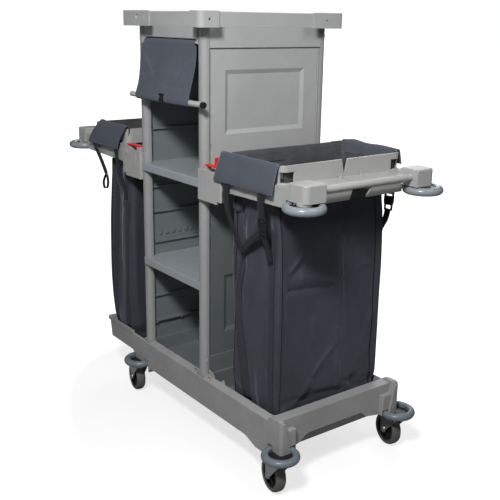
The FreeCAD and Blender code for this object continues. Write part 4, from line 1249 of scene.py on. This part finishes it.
# ----------------------------------------------------------------------
# floor, light, camera
# ----------------------------------------------------------------------
def floor_material():
    """Pale studio sweep, lit near the cart and running out to plain white.

    Bounced light meets a darker floor, which keeps the undersides deep."""
    material, tree, lit = new_material("floor")
    feed(tree, lit, {"Base Color": (0.80, 0.80, 0.80, 1), "Roughness": 0.8,
                     "Specular IOR Level": 0.1})
    dark = node(tree, "BsdfDiffuse", {"Color": (0.30, 0.30, 0.30, 1)})
    white = node(tree, "Emission", {"Strength": 1.38})
    # distance from the cart, stretched into an ellipse: position * scale + shift
    scale, shift = (0.9, 1.5, 0.0), (-0.18, 0.12, 0.0)
    place = node(tree, "NewGeometry").outputs["Position"]
    oval = node(tree, "VectorMath", {0: place, 1: scale, 2: shift}, operation="MULTIPLY_ADD")
    distance = node(tree, "VectorMath", {0: oval.outputs[0]}, operation="LENGTH")
    inputs = {"From Min": 0.45, "From Max": 0.95, "Value": distance.outputs["Value"]}
    fade = node(tree, "MapRange", inputs, interpolation_type="SMOOTHSTEP").outputs[0]
    least_white = 0.52
    share = calc(tree, "MAXIMUM", fade, least_white)
    seen = node(tree, "MixShader", {0: share, 1: lit.outputs[0], 2: white.outputs[0]})
    camera_ray = node(tree, "LightPath").outputs["Is Camera Ray"]
    both = node(tree, "MixShader", {0: camera_ray, 1: dark.outputs[0], 2: seen.outputs[0]})
    feed(tree, tree.nodes["Material Output"], {0: both.outputs[0]})
    return material


def stage_sheet(name, half_x, half_y, z, material):
    """A level rectangle that belongs to the studio."""
    corners = [(-half_x, -half_y, z), (half_x, -half_y, z), (half_x, half_y, z),
               (-half_x, half_y, z)]
    mesh = bpy.data.meshes.new(name)
    mesh.from_pydata(corners, [], [(0, 1, 2, 3)])
    made = put(name, mesh)
    mesh.materials.append(material)


def studio_world():
    """White to the camera, dim to everything else."""
    world = bpy.data.worlds.new("studio")
    SCENE.world = world
    world.use_nodes = True
    tree = world.node_tree
    tree.nodes.clear()
    output = node(tree, "OutputWorld")
    dim, bright = (node(tree, "Background", {"Color": (1, 1, 1, 1), "Strength": strength})
                   for strength in (0.065, 1.0))
    camera_ray = node(tree, "LightPath").outputs["Is Camera Ray"]
    mixed = node(tree, "MixShader", {0: camera_ray, 1: dim.outputs[0], 2: bright.outputs[0]})
    feed(tree, output, {0: mixed.outputs[0]})


def area(name, place, target, size, energy):
    """Rectangular light at place, aimed at target."""
    light = bpy.data.lights.new(name, "AREA")
    light.shape = "RECTANGLE"
    light.size, light.size_y = size
    light.energy = energy
    made = put(name, light)
    made.location = place
    aim = Vector(target) - Vector(place)
    made.rotation_euler = aim.to_track_quat("-Z", "Y").to_euler()
    return made


def add_camera():
    data = bpy.data.cameras.new("camera")
    data.sensor_width = 36.0
    data.lens = 57.31
    data.clip_start = 0.05
    made = put("camera", data)
    # turn from the front towards +X, height angle, and roll about the line of sight
    turn, pitch, roll = math.radians(53.1825), math.radians(16.1731), math.radians(0.8651)
    place = (2.02541, -1.43554, 1.24962)
    back = Vector((math.sin(turn) * math.cos(pitch), -math.cos(turn) * math.cos(pitch),
                   math.sin(pitch)))
    level = Vector((math.cos(turn), math.sin(turn), 0))
    upright = back.cross(level)
    c, s = math.cos(roll), math.sin(roll)
    right = c * level + s * upright
    up = -s * level + c * upright
    rows = [(right[k], up[k], back[k], place[k]) for k in range(3)]
    made.matrix_world = Matrix((*rows, (0, 0, 0, 1)))
    SCENE.camera = made


sweep_material = floor_material()
stage_sheet("floor", 40, 40, 0, sweep_material)
studio_world()
key = area("key", place=(1.45, -1.45, 2.20), target=(0.1, 0, 0.65), size=(0.34, 0.34), energy=52)
end_light = area("end", place=(1.65, 0.35, 2.20), target=(0.2, 0, 0.8), size=(0.8, 0.8), energy=8)
area("top", place=(0.0, 0.0, 3.6), target=(0, 0, 0.6), size=(2.4, 2.4), energy=10)
area("fill", place=(2.4, -2.6, 0.9), target=(0.2, 0, 0.4), size=(2.2, 1.4), energy=6)
area("left", place=(-1.9, -2.6, 1.5), target=(-0.2, 0, 0.5), size=(1.2, 1.2), energy=5)
area("back", place=(-1.9, 2.3, 2.2), target=(0, 0, 0.6), size=(1.6, 1.6), energy=30)

# the top tray casts no shadow from the key and end lights, which keeps its rim's shadow off the
# strip and rail below; a flag inside its floor shades the cabinet instead
stage_sheet("tray_flag", 0.176, 0.214, 1.233, sweep_material)
spared = bpy.data.collections.new("no_rim_shadow")
spared.objects.link(NODES["top_tray"])
for light in (key, end_light):
    light.light_linking.blocker_collection = spared
spared.collection_objects[0].light_linking.link_state = "EXCLUDE"

add_camera()
